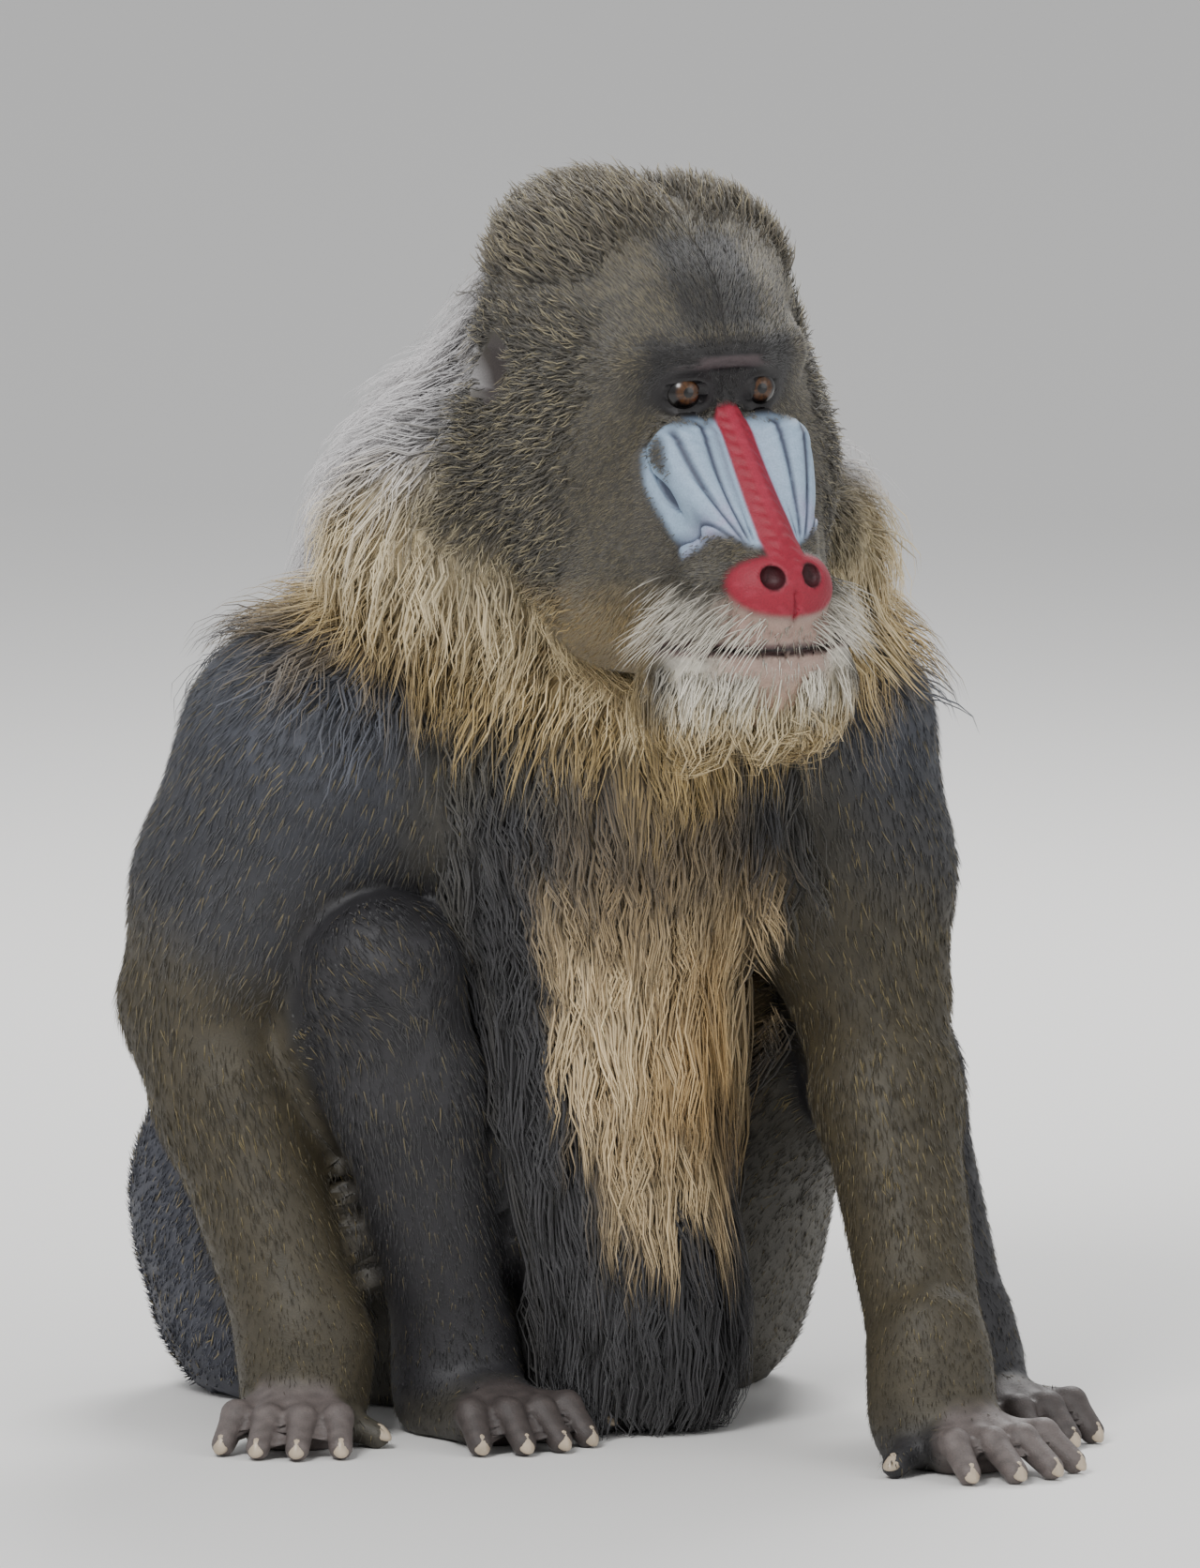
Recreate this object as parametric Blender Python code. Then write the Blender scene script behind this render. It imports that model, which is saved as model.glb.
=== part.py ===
"""Adult male mandrill, seated with both hands on the ground, life size.

The body is built from soft-blended forms laid along the bones. Each group of
forms is meshed, drawn onto its smooth blended surface, thinned, and parted with
narrow cuts into the named parts of the body. The mane, crest, beard and belly
coat are flat tapered locks rooted in the parts that they grow from.
Metres, +Z up, the floor at Z = 0. The animal faces -Y and a little +X.
"""
import math
import random
from dataclasses import dataclass

import bmesh
import bpy
import numpy as np
from mathutils import Matrix, Vector
from mathutils.bvhtree import BVHTree

# Driving dimensions
BODY_YAW = math.radians(25)
HEAD_YAW = math.radians(27)
MUZZLE_SLOPE = math.radians(50)
BODY_AXIS = np.array((-0.030, 0.030, 0.0))
EYES_MIDDLE = np.array((0.072, -0.170, 0.641))
EYE_SPACING = 0.049
EYE_RADIUS = 0.0115
EYE_DEPTH = 0.0085
SHOULDER_CUT = 0.118
SHOULDER_CUT_HEIGHT = 0.480
NECK_CUT_HEIGHT = 0.418
WAIST_CUT_HEIGHT = 0.275
JAW_TOP = 0.4955
THROAT_CUT_HEIGHT = 0.452
GAP = 0.0004
FLOOR_DEPTH = 0.2

# Fineness of the meshed groups: voxel size, then triangles kept
TRUNK_VOXEL, TRUNK_FACES = 0.0075, 2100
HEAD_VOXEL, HEAD_FACES = 0.0030, 2300
LEG_VOXEL, LEG_FACES = 0.0065, 420
HAND_VOXEL, HAND_FACES = 0.0032, 460

UP = np.array((0.0, 0.0, 1.0))
BODY_FORWARD = np.array((math.sin(BODY_YAW), -math.cos(BODY_YAW), 0.0))
BODY_LEFT = np.cross(UP, BODY_FORWARD)
HEAD_FORWARD = np.array((math.sin(HEAD_YAW), -math.cos(HEAD_YAW), 0.0))
HEAD_LEFT = np.cross(UP, HEAD_FORWARD)
MUZZLE_AXIS = HEAD_FORWARD * math.cos(MUZZLE_SLOPE) - UP * math.sin(MUZZLE_SLOPE)
MUZZLE_UP = HEAD_FORWARD * math.sin(MUZZLE_SLOPE) + UP * math.cos(MUZZLE_SLOPE)
SIDES = (("right", -1), ("left", 1))


@dataclass(frozen=True)
class Form:
    """A tapered round-ended form between two points, stretched across it."""

    start: np.ndarray
    end: np.ndarray
    start_radius: float
    end_radius: float
    soft: float = 0.03
    stretch: tuple = ()


def body(left, forward, up):
    """A place given from the trunk's own axis."""
    return BODY_AXIS + BODY_LEFT * left + BODY_FORWARD * forward + UP * up


def skull(left, forward, up):
    """A place given from the middle of the eyes, level."""
    return EYES_MIDDLE + HEAD_LEFT * left + HEAD_FORWARD * forward + UP * up


def muzzle(left, along, out):
    """A place given from the middle of the eyes, along the bridge of the nose."""
    return EYES_MIDDLE + HEAD_LEFT * left + MUZZLE_AXIS * along + MUZZLE_UP * out


def at(x, y, z):
    """A place given in the model's own axes."""
    return np.array((x, y, z), dtype=float)


def ball(centre, radius, soft=0.03, stretch=()):
    """A round form, stretched across its ways."""
    return Form(centre, centre, radius, radius, soft, stretch)


# The trunk, neck, arms and tail
SHOULDER = {"right": at(-0.168, -0.030, 0.402), "left": at(0.118, 0.055, 0.408)}
ELBOW = {"right": at(-0.238, 0.000, 0.255), "left": at(0.159, -0.005, 0.262)}
WRIST = {"right": at(-0.178, -0.072, 0.056), "left": at(0.194, -0.168, 0.056)}
TAIL_ROOT = body(0.0, -0.190, 0.170)
TAIL_TIP = body(0.005, -0.262, 0.262)

TRUNK_FORMS = [
    ball(body(0.0, 0.010, 0.350), 0.120, 0.0, ((UP, 1.05), (BODY_FORWARD, 1.12))),
    ball(body(0.0, -0.060, 0.455), 0.112, 0.06, ((BODY_LEFT, 1.12),)),
    ball(body(0.0, -0.050, 0.545), 0.096, 0.06, ((BODY_LEFT, 1.12),)),
    Form(body(0.0, 0.040, 0.580), body(0.0, -0.02, 0.480), 0.085, 0.100, 0.05),
    ball(body(0.0, 0.060, 0.420), 0.085, 0.05, ((BODY_LEFT, 1.15),)),
    ball(body(0.0, 0.020, 0.200), 0.092, 0.05, ((UP, 1.45), (BODY_FORWARD, 1.15))),
    ball(body(0.0, -0.080, 0.280), 0.110, 0.06, ((UP, 1.3),)),
    ball(body(0.0, -0.120, 0.120), 0.118, 0.06, ((BODY_LEFT, 1.12),)),
    ball(body(0.0, -0.100, 0.030), 0.085, 0.04, ((BODY_LEFT, 1.25),)),
    ball(body(0.025, 0.065, 0.070), 0.062, 0.04, ((UP, 1.35),)),
    ball(skull(0.0, -0.112, 0.015), 0.094, 0.04, ((HEAD_FORWARD, 1.20),)),
    ball(skull(0.0, -0.150, -0.060), 0.098, 0.05),
    ball(skull(-0.034, -0.120, 0.068), 0.046, 0.03, ((HEAD_FORWARD, 1.3),)),
    ball(skull(0.034, -0.105, 0.062), 0.044, 0.03, ((HEAD_FORWARD, 1.3),)),
]
MANE_FORMS = [
    ball(skull(-0.105, -0.155, -0.095), 0.074, 0.05),
    ball(skull(0.112, -0.140, -0.115), 0.062, 0.05),
]
TAIL_FORM = Form(TAIL_ROOT, TAIL_TIP, 0.021, 0.013, 0.02)


def arm_forms(side):
    """Upper arm, elbow and forearm out to the tips of their short fur."""
    shoulder, elbow, wrist = SHOULDER[side], ELBOW[side], WRIST[side]
    thick = 1.0 if side == "right" else 0.92
    middle = shoulder * 0.45 + elbow * 0.55
    belly_of_arm = elbow * 0.72 + wrist * 0.28
    return [
        ball(shoulder, 0.086 * thick, 0.05),
        Form(shoulder, middle, 0.086 * thick, 0.076 * thick, 0.03),
        Form(middle, elbow, 0.076 * thick, 0.053 * thick, 0.03),
        Form(elbow, belly_of_arm, 0.053 * thick, 0.050 * thick, 0.02),
        Form(belly_of_arm, wrist, 0.050 * thick, 0.041 * thick, 0.02),
        Form(wrist, wrist + at(0.0, -0.012, -0.03), 0.041 * thick, 0.032, 0.02),
    ]


ALL_TRUNK = TRUNK_FORMS + MANE_FORMS + [TAIL_FORM] + arm_forms("right") + arm_forms("left")

# The legs, folded with the knees up
HIP = {"right": at(-0.176, 0.130, 0.120), "left": at(0.030, 0.165, 0.120)}
KNEE = {"right": at(-0.131, -0.085, 0.283), "left": at(0.150, 0.050, 0.270)}
ANKLE = {"right": at(-0.088, -0.040, 0.048), "left": at(0.212, -0.035, 0.048)}


def leg_forms(side):
    """Buttock, thigh, knee and shin."""
    hip, knee, ankle = HIP[side], KNEE[side], ANKLE[side]
    middle = hip * 0.5 + knee * 0.5
    calf = knee * 0.7 + ankle * 0.3
    return [
        ball(hip, 0.108, 0.0),
        ball(at(*hip[:2], 0.055), 0.085, 0.05),
        Form(hip, middle, 0.105, 0.072, 0.03),
        Form(middle, knee, 0.072, 0.048, 0.03),
        Form(knee, calf, 0.047, 0.048, 0.02),
        Form(calf, ankle, 0.048, 0.038, 0.02),
        Form(ankle, ankle + at(0.0, -0.01, -0.03), 0.037, 0.030, 0.02),
    ]


@dataclass(frozen=True)
class Digits:
    """A hand or foot: where it starts, where it points and how it spreads."""

    root: np.ndarray
    heading: float
    palm: float
    palm_width: float
    lengths: tuple
    spread: tuple
    radius: float
    thumb_length: float
    thumb_turn: float
    thumb_side: int
    height: float


HANDS = {
    "right": Digits(WRIST["right"], math.radians(-100), 0.045, 0.026,
                    (0.040, 0.047, 0.048, 0.042), (-13, -4, 4, 14), 0.0098,
                    0.034, 62, 1, 0.019),
    "left": Digits(WRIST["left"], math.radians(-52), 0.048, 0.027,
                   (0.044, 0.052, 0.052, 0.046), (-15, -5, 5, 16), 0.0100,
                   0.040, -62, -1, 0.019),
}
FEET = {
    "right": Digits(ANKLE["right"], math.radians(-62), 0.066, 0.028,
                    (0.040, 0.046, 0.045, 0.038), (-12, -4, 4, 13), 0.0102,
                    0.058, 52, 1, 0.020),
    "left": Digits(ANKLE["left"], math.radians(-58), 0.062, 0.028,
                   (0.038, 0.044, 0.043, 0.036), (-12, -4, 4, 13), 0.0102,
                   0.050, -52, -1, 0.020),
}


def heading(angle):
    """The level direction at an angle from +X."""
    return np.array((math.cos(angle), math.sin(angle), 0.0))


def digit_joints(limb, index):
    """Knuckle, middle joint and tip of one finger or toe, resting on the floor."""
    ahead = heading(limb.heading)
    across = heading(limb.heading + math.pi / 2)
    ground = np.array((*limb.root[:2], 0.0))
    share = (index - 1.5) / 1.5
    knuckle = ground + ahead * limb.palm + across * share * limb.palm_width
    knuckle = knuckle - ahead * 0.006 * abs(share) + UP * limb.height
    way = heading(limb.heading + math.radians(limb.spread[index]))
    length = limb.lengths[index]
    middle = knuckle + way * length * 0.52 + UP * 0.003
    tip = knuckle + way * length
    tip[2] = limb.radius * 0.72
    return knuckle, middle, tip


def thumb_joints(limb):
    """The thumb or big toe, set low on its side of the palm."""
    ground = np.array((*limb.root[:2], 0.0))
    across = heading(limb.heading + math.pi / 2)
    way = heading(limb.heading + math.radians(limb.thumb_turn))
    knuckle = ground + heading(limb.heading) * limb.palm * 0.35
    knuckle = knuckle + across * limb.thumb_side * limb.palm_width * 0.75 + UP * 0.016
    tip = knuckle + way * limb.thumb_length
    tip[2] = limb.radius * 0.75
    return knuckle, tip


def limb_end_forms(limb):
    """Palm, fingers and thumb, a little below the floor so that the cut is flat."""
    ground = np.array((*limb.root[:2], 0.0))
    ahead = heading(limb.heading)
    low = UP * 0.015
    forms = [
        Form(limb.root + UP * 0.02, limb.root - UP * 0.018, 0.036, 0.031, 0.0),
        Form(ground + low, ground + ahead * limb.palm * 0.8 + low, 0.026, 0.020,
             0.02, ((heading(limb.heading + math.pi / 2), 1.35),)),
        Form(limb.root - UP * 0.02, ground + ahead * limb.palm * 0.8 + low, 0.027,
             0.020, 0.02, ((heading(limb.heading + math.pi / 2), 1.2),)),
    ]
    for index in range(4):
        knuckle, middle, tip = digit_joints(limb, index)
        forms.append(Form(knuckle, middle, limb.radius * 1.12, limb.radius, 0.008))
        forms.append(Form(middle, tip, limb.radius, limb.radius * 0.85, 0.004))
    knuckle, tip = thumb_joints(limb)
    forms.append(Form(knuckle, tip, limb.radius * 1.15, limb.radius * 0.9, 0.01))
    return forms


# The head, from the neck cut to the nose
NOSE_PAD = skull(0.0, 0.070, -0.107)
HEAD_FORMS = [
    ball(skull(0.0, -0.112, 0.015), 0.094, 0.0, ((HEAD_FORWARD, 1.20),)),
    ball(skull(0.0, -0.150, -0.06), 0.098, 0.05),
    ball(skull(-0.034, -0.120, 0.068), 0.046, 0.03, ((HEAD_FORWARD, 1.3),)),
    ball(skull(0.034, -0.105, 0.062), 0.044, 0.03, ((HEAD_FORWARD, 1.3),)),
    ball(skull(-0.058, -0.085, -0.060), 0.056, 0.05, ((UP, 1.15),)),
    ball(skull(0.058, -0.085, -0.060), 0.056, 0.05, ((UP, 1.15),)),
    ball(skull(-0.045, -0.055, -0.125), 0.046, 0.04),
    ball(skull(0.045, -0.055, -0.125), 0.046, 0.04),
    Form(skull(-0.052, -0.024, 0.020), skull(-0.018, -0.006, 0.023), 0.0105, 0.0115, 0.02),
    Form(skull(0.052, -0.024, 0.020), skull(0.018, -0.006, 0.023), 0.0105, 0.0115, 0.02),
    Form(skull(-0.018, -0.006, 0.023), skull(0.018, -0.006, 0.023), 0.0115, 0.0115, 0.01),
    Form(skull(0, -0.05, -0.06), muzzle(0, 0.100, -0.040), 0.050, 0.036, 0.03,
         ((HEAD_LEFT, 1.05),)),
    Form(muzzle(-0.029, 0.032, -0.016), muzzle(-0.021, 0.098, -0.014), 0.022, 0.012,
         0.014, ((MUZZLE_UP, 0.85),)),
    Form(muzzle(0.029, 0.032, -0.016), muzzle(0.021, 0.098, -0.014), 0.022, 0.012,
         0.014, ((MUZZLE_UP, 0.85),)),
    Form(muzzle(0, 0.000, -0.012), muzzle(0, 0.108, -0.005), 0.0090, 0.0105, 0.008),
    ball(NOSE_PAD, 0.019, 0.012, ((HEAD_LEFT, 1.50),)),
    Form(skull(-0.026, 0.040, -0.122), skull(0, 0.058, -0.122), 0.024, 0.026, 0.02),
    Form(skull(0.026, 0.040, -0.122), skull(0, 0.058, -0.122), 0.024, 0.026, 0.02),
    Form(skull(-0.043, 0.036, -0.139), skull(-0.022, 0.070, -0.137), 0.008, 0.009, 0.008),
    Form(skull(0.043, 0.036, -0.139), skull(0.022, 0.070, -0.137), 0.008, 0.009, 0.008),
    Form(skull(-0.022, 0.070, -0.137), skull(0.022, 0.070, -0.137), 0.009, 0.009, 0.008),
    Form(skull(-0.041, 0.032, -0.152), skull(-0.020, 0.063, -0.153), 0.008, 0.009, 0.010),
    Form(skull(0.041, 0.032, -0.152), skull(0.020, 0.063, -0.153), 0.008, 0.009, 0.010),
    Form(skull(-0.020, 0.063, -0.153), skull(0.020, 0.063, -0.153), 0.009, 0.009, 0.010),
    Form(skull(0.0, 0.040, -0.158), skull(0, -0.05, -0.13), 0.024, 0.050, 0.03,
         ((HEAD_LEFT, 1.15),)),
]
BEARD_FORMS = [
    ball(skull(-0.040, 0.025, -0.168), 0.030, 0.02, ((UP, 1.15),)),
    ball(skull(0.040, 0.025, -0.168), 0.030, 0.02, ((UP, 1.15),)),
    ball(skull(0.0, 0.042, -0.172), 0.022, 0.02, ((UP, 1.2),)),
]
EYE_HOLLOW_RADIUS = 0.0135
EAR_RADII = (0.0135, 0.0190, 0.0250)
RIDGE_COUNT = 5
RIDGE_HEIGHT = 0.0030
RIDGE_FAN = math.radians(62)
RIDGE_POLE = (0.013, 0.112)


def distance_to(form, points):
    """Distance from points to a form's surface, less than zero inside it."""
    middle = (form.start + form.end) / 2
    offset = points - middle
    for way, ratio in form.stretch:
        offset = offset + np.outer(offset @ way, way) * (1 / ratio - 1)
    axis = (form.end - form.start) / 2
    reach = float(axis @ axis)
    share = np.zeros(len(points)) if reach < 1e-12 else np.clip(offset @ axis / reach, -1, 1)
    radius = form.start_radius + (form.end_radius - form.start_radius) * (share + 1) / 2
    return np.linalg.norm(offset - np.outer(share, axis), axis=1) - radius


def blend(first, second, soft):
    """The smaller of two distances, rounded off where they are close."""
    if soft <= 0:
        return np.minimum(first, second)
    near = np.clip(0.5 + 0.5 * (second - first) / soft, 0, 1)
    return second * (1 - near) + first * near - soft * near * (1 - near)


def field(forms, points):
    """Distance from points to the blended surface of many forms."""
    total = distance_to(forms[0], points)
    for form in forms[1:]:
        total = blend(total, distance_to(form, points), form.soft)
    return total


def ridge_relief(points):
    """Raised ridges that fan out over each side of the muzzle from the nose."""
    offset = points - EYES_MIDDLE
    side = np.abs(offset @ HEAD_LEFT)
    along = offset @ MUZZLE_AXIS
    out = offset @ MUZZLE_UP
    across, back = side - RIDGE_POLE[0], RIDGE_POLE[1] - along
    turn = np.arctan2(across, np.maximum(back, 1e-4))
    reach = np.hypot(across, back)
    wave = np.abs(np.sin(turn / RIDGE_FAN * math.pi * RIDGE_COUNT)) ** 0.6
    inside = np.clip(turn / 0.05, 0, 1) * np.clip((RIDGE_FAN - turn) / 0.1, 0, 1)
    inside = inside * np.clip((reach - 0.008) / 0.02, 0, 1)
    inside = inside * np.clip((0.105 - reach) / 0.015, 0, 1) * np.clip((out + 0.045) / 0.01, 0, 1)
    inside = inside * np.clip((back - 0.004) / 0.01, 0, 1)
    inside = inside * np.clip((0.062 - side) / 0.010, 0, 1)
    return inside * (wave - 0.35) * RIDGE_HEIGHT


def head_field(points):
    """The head's surface with its eye hollows and muzzle ridges."""
    total = field(HEAD_FORMS + BEARD_FORMS, points) - ridge_relief(points)
    for _, sign in SIDES:
        hollow = ball(skull(sign * 0.0255, 0.0135, -0.001), EYE_HOLLOW_RADIUS, 0,
                      ((HEAD_LEFT, 1.25),))
        total = -blend(-total, distance_to(hollow, points), 0.006)
    return total


def slope_of(surface, points, step=0.0006):
    """The way out from a surface at each point."""
    ways = [(surface(points + axis * step) - surface(points - axis * step)) for axis in np.eye(3)]
    return np.stack(ways, axis=1) / (2 * step)


def unit(vector):
    """A vector of length one."""
    return np.asarray(vector, dtype=float) / max(float(np.linalg.norm(vector)), 1e-9)


# Meshing
def coordinates(mesh):
    """The places of a mesh's vertices as rows."""
    flat = np.empty(len(mesh.vertices) * 3)
    mesh.vertices.foreach_get("co", flat)
    return flat.reshape(-1, 3)


def link(name, mesh):
    """A mesh shown in the scene under a name."""
    shown = bpy.data.objects.new(name, mesh)
    bpy.context.scene.collection.objects.link(shown)
    return shown


def apply_modifiers(shown):
    """Replace an object's mesh by what its modifiers make of it."""
    bpy.context.view_layer.update()
    graph = bpy.context.evaluated_depsgraph_get()
    made = bpy.data.meshes.new_from_object(shown.evaluated_get(graph))
    shown.modifiers.clear()
    old, shown.data = shown.data, made
    bpy.data.meshes.remove(old)
    return shown


def drop(*shown):
    """Remove objects with their meshes."""
    for thing in shown:
        bpy.data.meshes.remove(thing.data)


def add_form(shape, form):
    """Add the closed hull of one form to a bmesh."""
    hull = bmesh.new()
    for centre, radius in ((form.start, form.start_radius), (form.end, form.end_radius)):
        bmesh.ops.create_icosphere(hull, subdivisions=3, radius=radius,
                                   matrix=Matrix.Translation(Vector(centre)))
    made = bmesh.ops.convex_hull(hull, input=hull.verts)
    loose = [item for item in made["geom_interior"] + made["geom_unused"]
             if isinstance(item, bmesh.types.BMVert)]
    bmesh.ops.delete(hull, geom=list(set(loose)), context="VERTS")
    middle = (form.start + form.end) / 2
    for way, ratio in form.stretch:
        for vertex in hull.verts:
            reach = float((np.array(vertex.co) - middle) @ way)
            vertex.co = vertex.co + Vector(way * reach * (ratio - 1))
    piece = bpy.data.meshes.new("hull")
    hull.to_mesh(piece)
    hull.free()
    shape.from_mesh(piece)
    bpy.data.meshes.remove(piece)


def grown(name, forms, surface, voxel, faces):
    """One closed mesh on the blended surface of some forms, thinned to a count."""
    shape = bmesh.new()
    for form in forms:
        add_form(shape, form)
    mesh = bpy.data.meshes.new(name)
    shape.to_mesh(mesh)
    shape.free()
    shown = link(name, mesh)
    remesh = shown.modifiers.new("Remesh", "REMESH")
    remesh.mode = "VOXEL"
    remesh.voxel_size = voxel
    apply_modifiers(shown)
    places = coordinates(shown.data)
    for _ in range(6):
        slope = slope_of(surface, places)
        steep = np.maximum((slope ** 2).sum(axis=1), 0.25)
        step = slope * (surface(places) / steep)[:, None]
        length = np.linalg.norm(step, axis=1)[:, None]
        places = places - step * np.minimum(1, voxel / np.maximum(length, 1e-9))
    shown.data.vertices.foreach_set("co", places.ravel())
    shown.data.update()
    thin = shown.modifiers.new("Decimate", "DECIMATE")
    thin.ratio = min(1.0, faces / (2 * len(shown.data.polygons)))
    thin.use_collapse_triangulate = True
    return apply_modifiers(shown)


def face_outwards(shape):
    """Turn a closed shape's faces round if they point in."""
    if shape.calc_volume(signed=True) < 0:
        bmesh.ops.reverse_faces(shape, faces=shape.faces)


def block(name, centre, axes, halves):
    """A closed box with its own axes, used to cut."""
    shape = bmesh.new()
    bmesh.ops.create_cube(shape, size=2.0)
    for vertex in shape.verts:
        reach = [vertex.co[i] * halves[i] for i in range(3)]
        vertex.co = Vector(centre + sum(axes[i] * reach[i] for i in range(3)))
    face_outwards(shape)
    mesh = bpy.data.meshes.new(name)
    shape.to_mesh(mesh)
    shape.free()
    return link(name, mesh)


def slab(name, centre, normal, across, half_across, half_up):
    """A cut of one gap's thickness through a part."""
    across = unit(across - normal * float(np.dot(across, normal)))
    axes = (across, np.cross(normal, across), normal)
    return block(name, centre, axes, (half_across, half_up, GAP / 2))


def floor_block():
    """Everything below the floor."""
    return block("floor", at(0, 0, -FLOOR_DEPTH), (at(1, 0, 0), at(0, 1, 0), UP),
                 (1.0, 1.0, FLOOR_DEPTH))


def fuse(shown, others, solver="EXACT"):
    """Join closed meshes to an object in one Boolean union."""
    group = bpy.data.collections.new("others")
    bpy.context.scene.collection.children.link(group)
    for other in others:
        group.objects.link(other)
    joint = shown.modifiers.new("Boolean", "BOOLEAN")
    joint.operation = "UNION"
    joint.solver = solver
    joint.operand_type = "COLLECTION"
    joint.collection = group
    apply_modifiers(shown)
    drop(*others)
    bpy.data.collections.remove(group)
    return shown


def cut(shown, cutters, folded=False):
    """Cut closed meshes from an object, one after another, allowing for folds in it."""
    for cutter in cutters:
        joint = shown.modifiers.new("Boolean", "BOOLEAN")
        joint.operation = "DIFFERENCE"
        joint.object = cutter
        joint.use_self = folded
    apply_modifiers(shown)
    drop(*cutters)
    return shown


def triangulated(mesh):
    """Split a mesh's faces into triangles and merge what lies together."""
    shape = bmesh.new()
    shape.from_mesh(mesh)
    bmesh.ops.remove_doubles(shape, verts=shape.verts, dist=0.00002)
    bmesh.ops.dissolve_degenerate(shape, edges=shape.edges, dist=0.00002)
    bmesh.ops.triangulate(shape, faces=shape.faces)
    shape.to_mesh(mesh)
    shape.free()


def surfaces(shown):
    """The closed surfaces of an object, each as a mesh, largest first."""
    triangulated(shown.data)
    whole = bmesh.new()
    whole.from_mesh(shown.data)
    whole.verts.ensure_lookup_table()
    left = set(range(len(whole.verts)))
    pieces = []
    while left:
        seed = left.pop()
        group, edge = {seed}, [whole.verts[seed]]
        while edge:
            for link_edge in edge.pop().link_edges:
                for vertex in link_edge.verts:
                    if vertex.index in left:
                        left.discard(vertex.index)
                        group.add(vertex.index)
                        edge.append(vertex)
        pieces.append(group)
    meshes = []
    for group in pieces:
        part = whole.copy()
        part.verts.ensure_lookup_table()
        spare = [vertex for vertex in part.verts if vertex.index not in group]
        bmesh.ops.delete(part, geom=spare, context="VERTS")
        volume = part.calc_volume(signed=True)
        mesh = bpy.data.meshes.new("piece")
        part.to_mesh(mesh)
        part.free()
        meshes.append((volume, mesh))
    whole.free()
    meshes.sort(key=lambda pair: -pair[0])
    return meshes


def keep_largest(shown):
    """Keep only an object's largest closed surface."""
    found = surfaces(shown)
    old, shown.data = shown.data, found[0][1]
    bpy.data.meshes.remove(old)
    for _, mesh in found[1:]:
        bpy.data.meshes.remove(mesh)
    return shown


def holds(mesh, place):
    """Whether a place is inside a closed mesh."""
    shape = bmesh.new()
    shape.from_mesh(mesh)
    tree = BVHTree.FromBMesh(shape)
    shape.free()
    way = Vector((0.31, 0.17, 0.93)).normalized()
    start, crossings = Vector(place), 0
    while crossings < 100:
        hit = tree.ray_cast(start, way)[0]
        if hit is None:
            break
        crossings += 1
        start = hit + way * 1e-5
    return crossings % 2 == 1


def parted(shown, seats):
    """Split an object into named parts by a place inside each."""
    found = [(volume, mesh) for volume, mesh in surfaces(shown) if volume > 1e-6]
    parts = {}
    for name, place in seats.items():
        inside = [mesh for _, mesh in found if holds(mesh, place)]
        if len(inside) != 1:
            raise RuntimeError(f"{name} has {len(inside)} pieces at its seat")
        parts[name] = link(name, inside[0])
    kept = {thing.data for thing in parts.values()}
    for _, mesh in found:
        if mesh not in kept:
            bpy.data.meshes.remove(mesh)
    drop(shown)
    return parts


def inflated(shown, amount):
    """A copy of a closed mesh, a little larger all over."""
    mesh = shown.data.copy()
    shape = bmesh.new()
    shape.from_mesh(mesh)
    shape.normal_update()
    moves = [vertex.normal * amount for vertex in shape.verts]
    for vertex, move in zip(shape.verts, moves):
        vertex.co += move
    shape.to_mesh(mesh)
    shape.free()
    return link(shown.name + "_room", mesh)


def sphere(name, centre, radius, segments=12, rings=7):
    """A round ball as a closed mesh."""
    shape = bmesh.new()
    bmesh.ops.create_uvsphere(shape, u_segments=segments, v_segments=rings, radius=radius,
                              matrix=Matrix.Translation(Vector(centre)))
    mesh = bpy.data.meshes.new(name)
    shape.to_mesh(mesh)
    shape.free()
    return link(name, mesh)


def tube(name, centres, widths, heights, sides, normals=None, first_turn=0.0):
    """A closed form with a flat or round section along a line of places."""
    shape = bmesh.new()
    rings = []
    for index, centre in enumerate(centres):
        before = centres[max(index - 1, 0)]
        after = centres[min(index + 1, len(centres) - 1)]
        ahead = unit(after - before)
        out = UP if normals is None else normals[index]
        across = unit(np.cross(ahead, out))
        out = np.cross(across, ahead)
        ring = []
        for corner in range(sides):
            turn = first_turn + 2 * math.pi * corner / sides
            place = centre + across * widths[index] * math.cos(turn)
            place = place + out * heights[index] * math.sin(turn)
            ring.append(shape.verts.new(place))
        rings.append(ring)
    for ring, following in zip(rings, rings[1:]):
        for corner in range(sides):
            after = (corner + 1) % sides
            shape.faces.new((ring[corner], following[corner], following[after], ring[after]))
    shape.faces.new(rings[0])
    shape.faces.new(tuple(reversed(rings[-1])))
    bmesh.ops.triangulate(shape, faces=shape.faces)
    face_outwards(shape)
    mesh = bpy.data.meshes.new(name)
    shape.to_mesh(mesh)
    shape.free()
    return link(name, mesh)


# Named parts
NECK_CUT_PLACE = skull(0.0, -0.140, -0.015)
NECK_CUT_NORMAL = unit(HEAD_FORWARD * 0.917 + UP * 0.40)


def head_room(amount):
    """The room behind and below the head that the neck and chest take."""
    upward = np.cross(NECK_CUT_NORMAL, HEAD_LEFT)
    behind = block("behind", NECK_CUT_PLACE - NECK_CUT_NORMAL * (0.2 - amount),
                   (HEAD_LEFT, upward, NECK_CUT_NORMAL), (0.4, 0.4, 0.2))
    below = block("below", body(0, 0.155 - 0.3, THROAT_CUT_HEIGHT - 0.2 + amount),
                  (BODY_LEFT, -BODY_FORWARD, UP), (0.4, 0.3, 0.2))
    return [behind, below]


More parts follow.
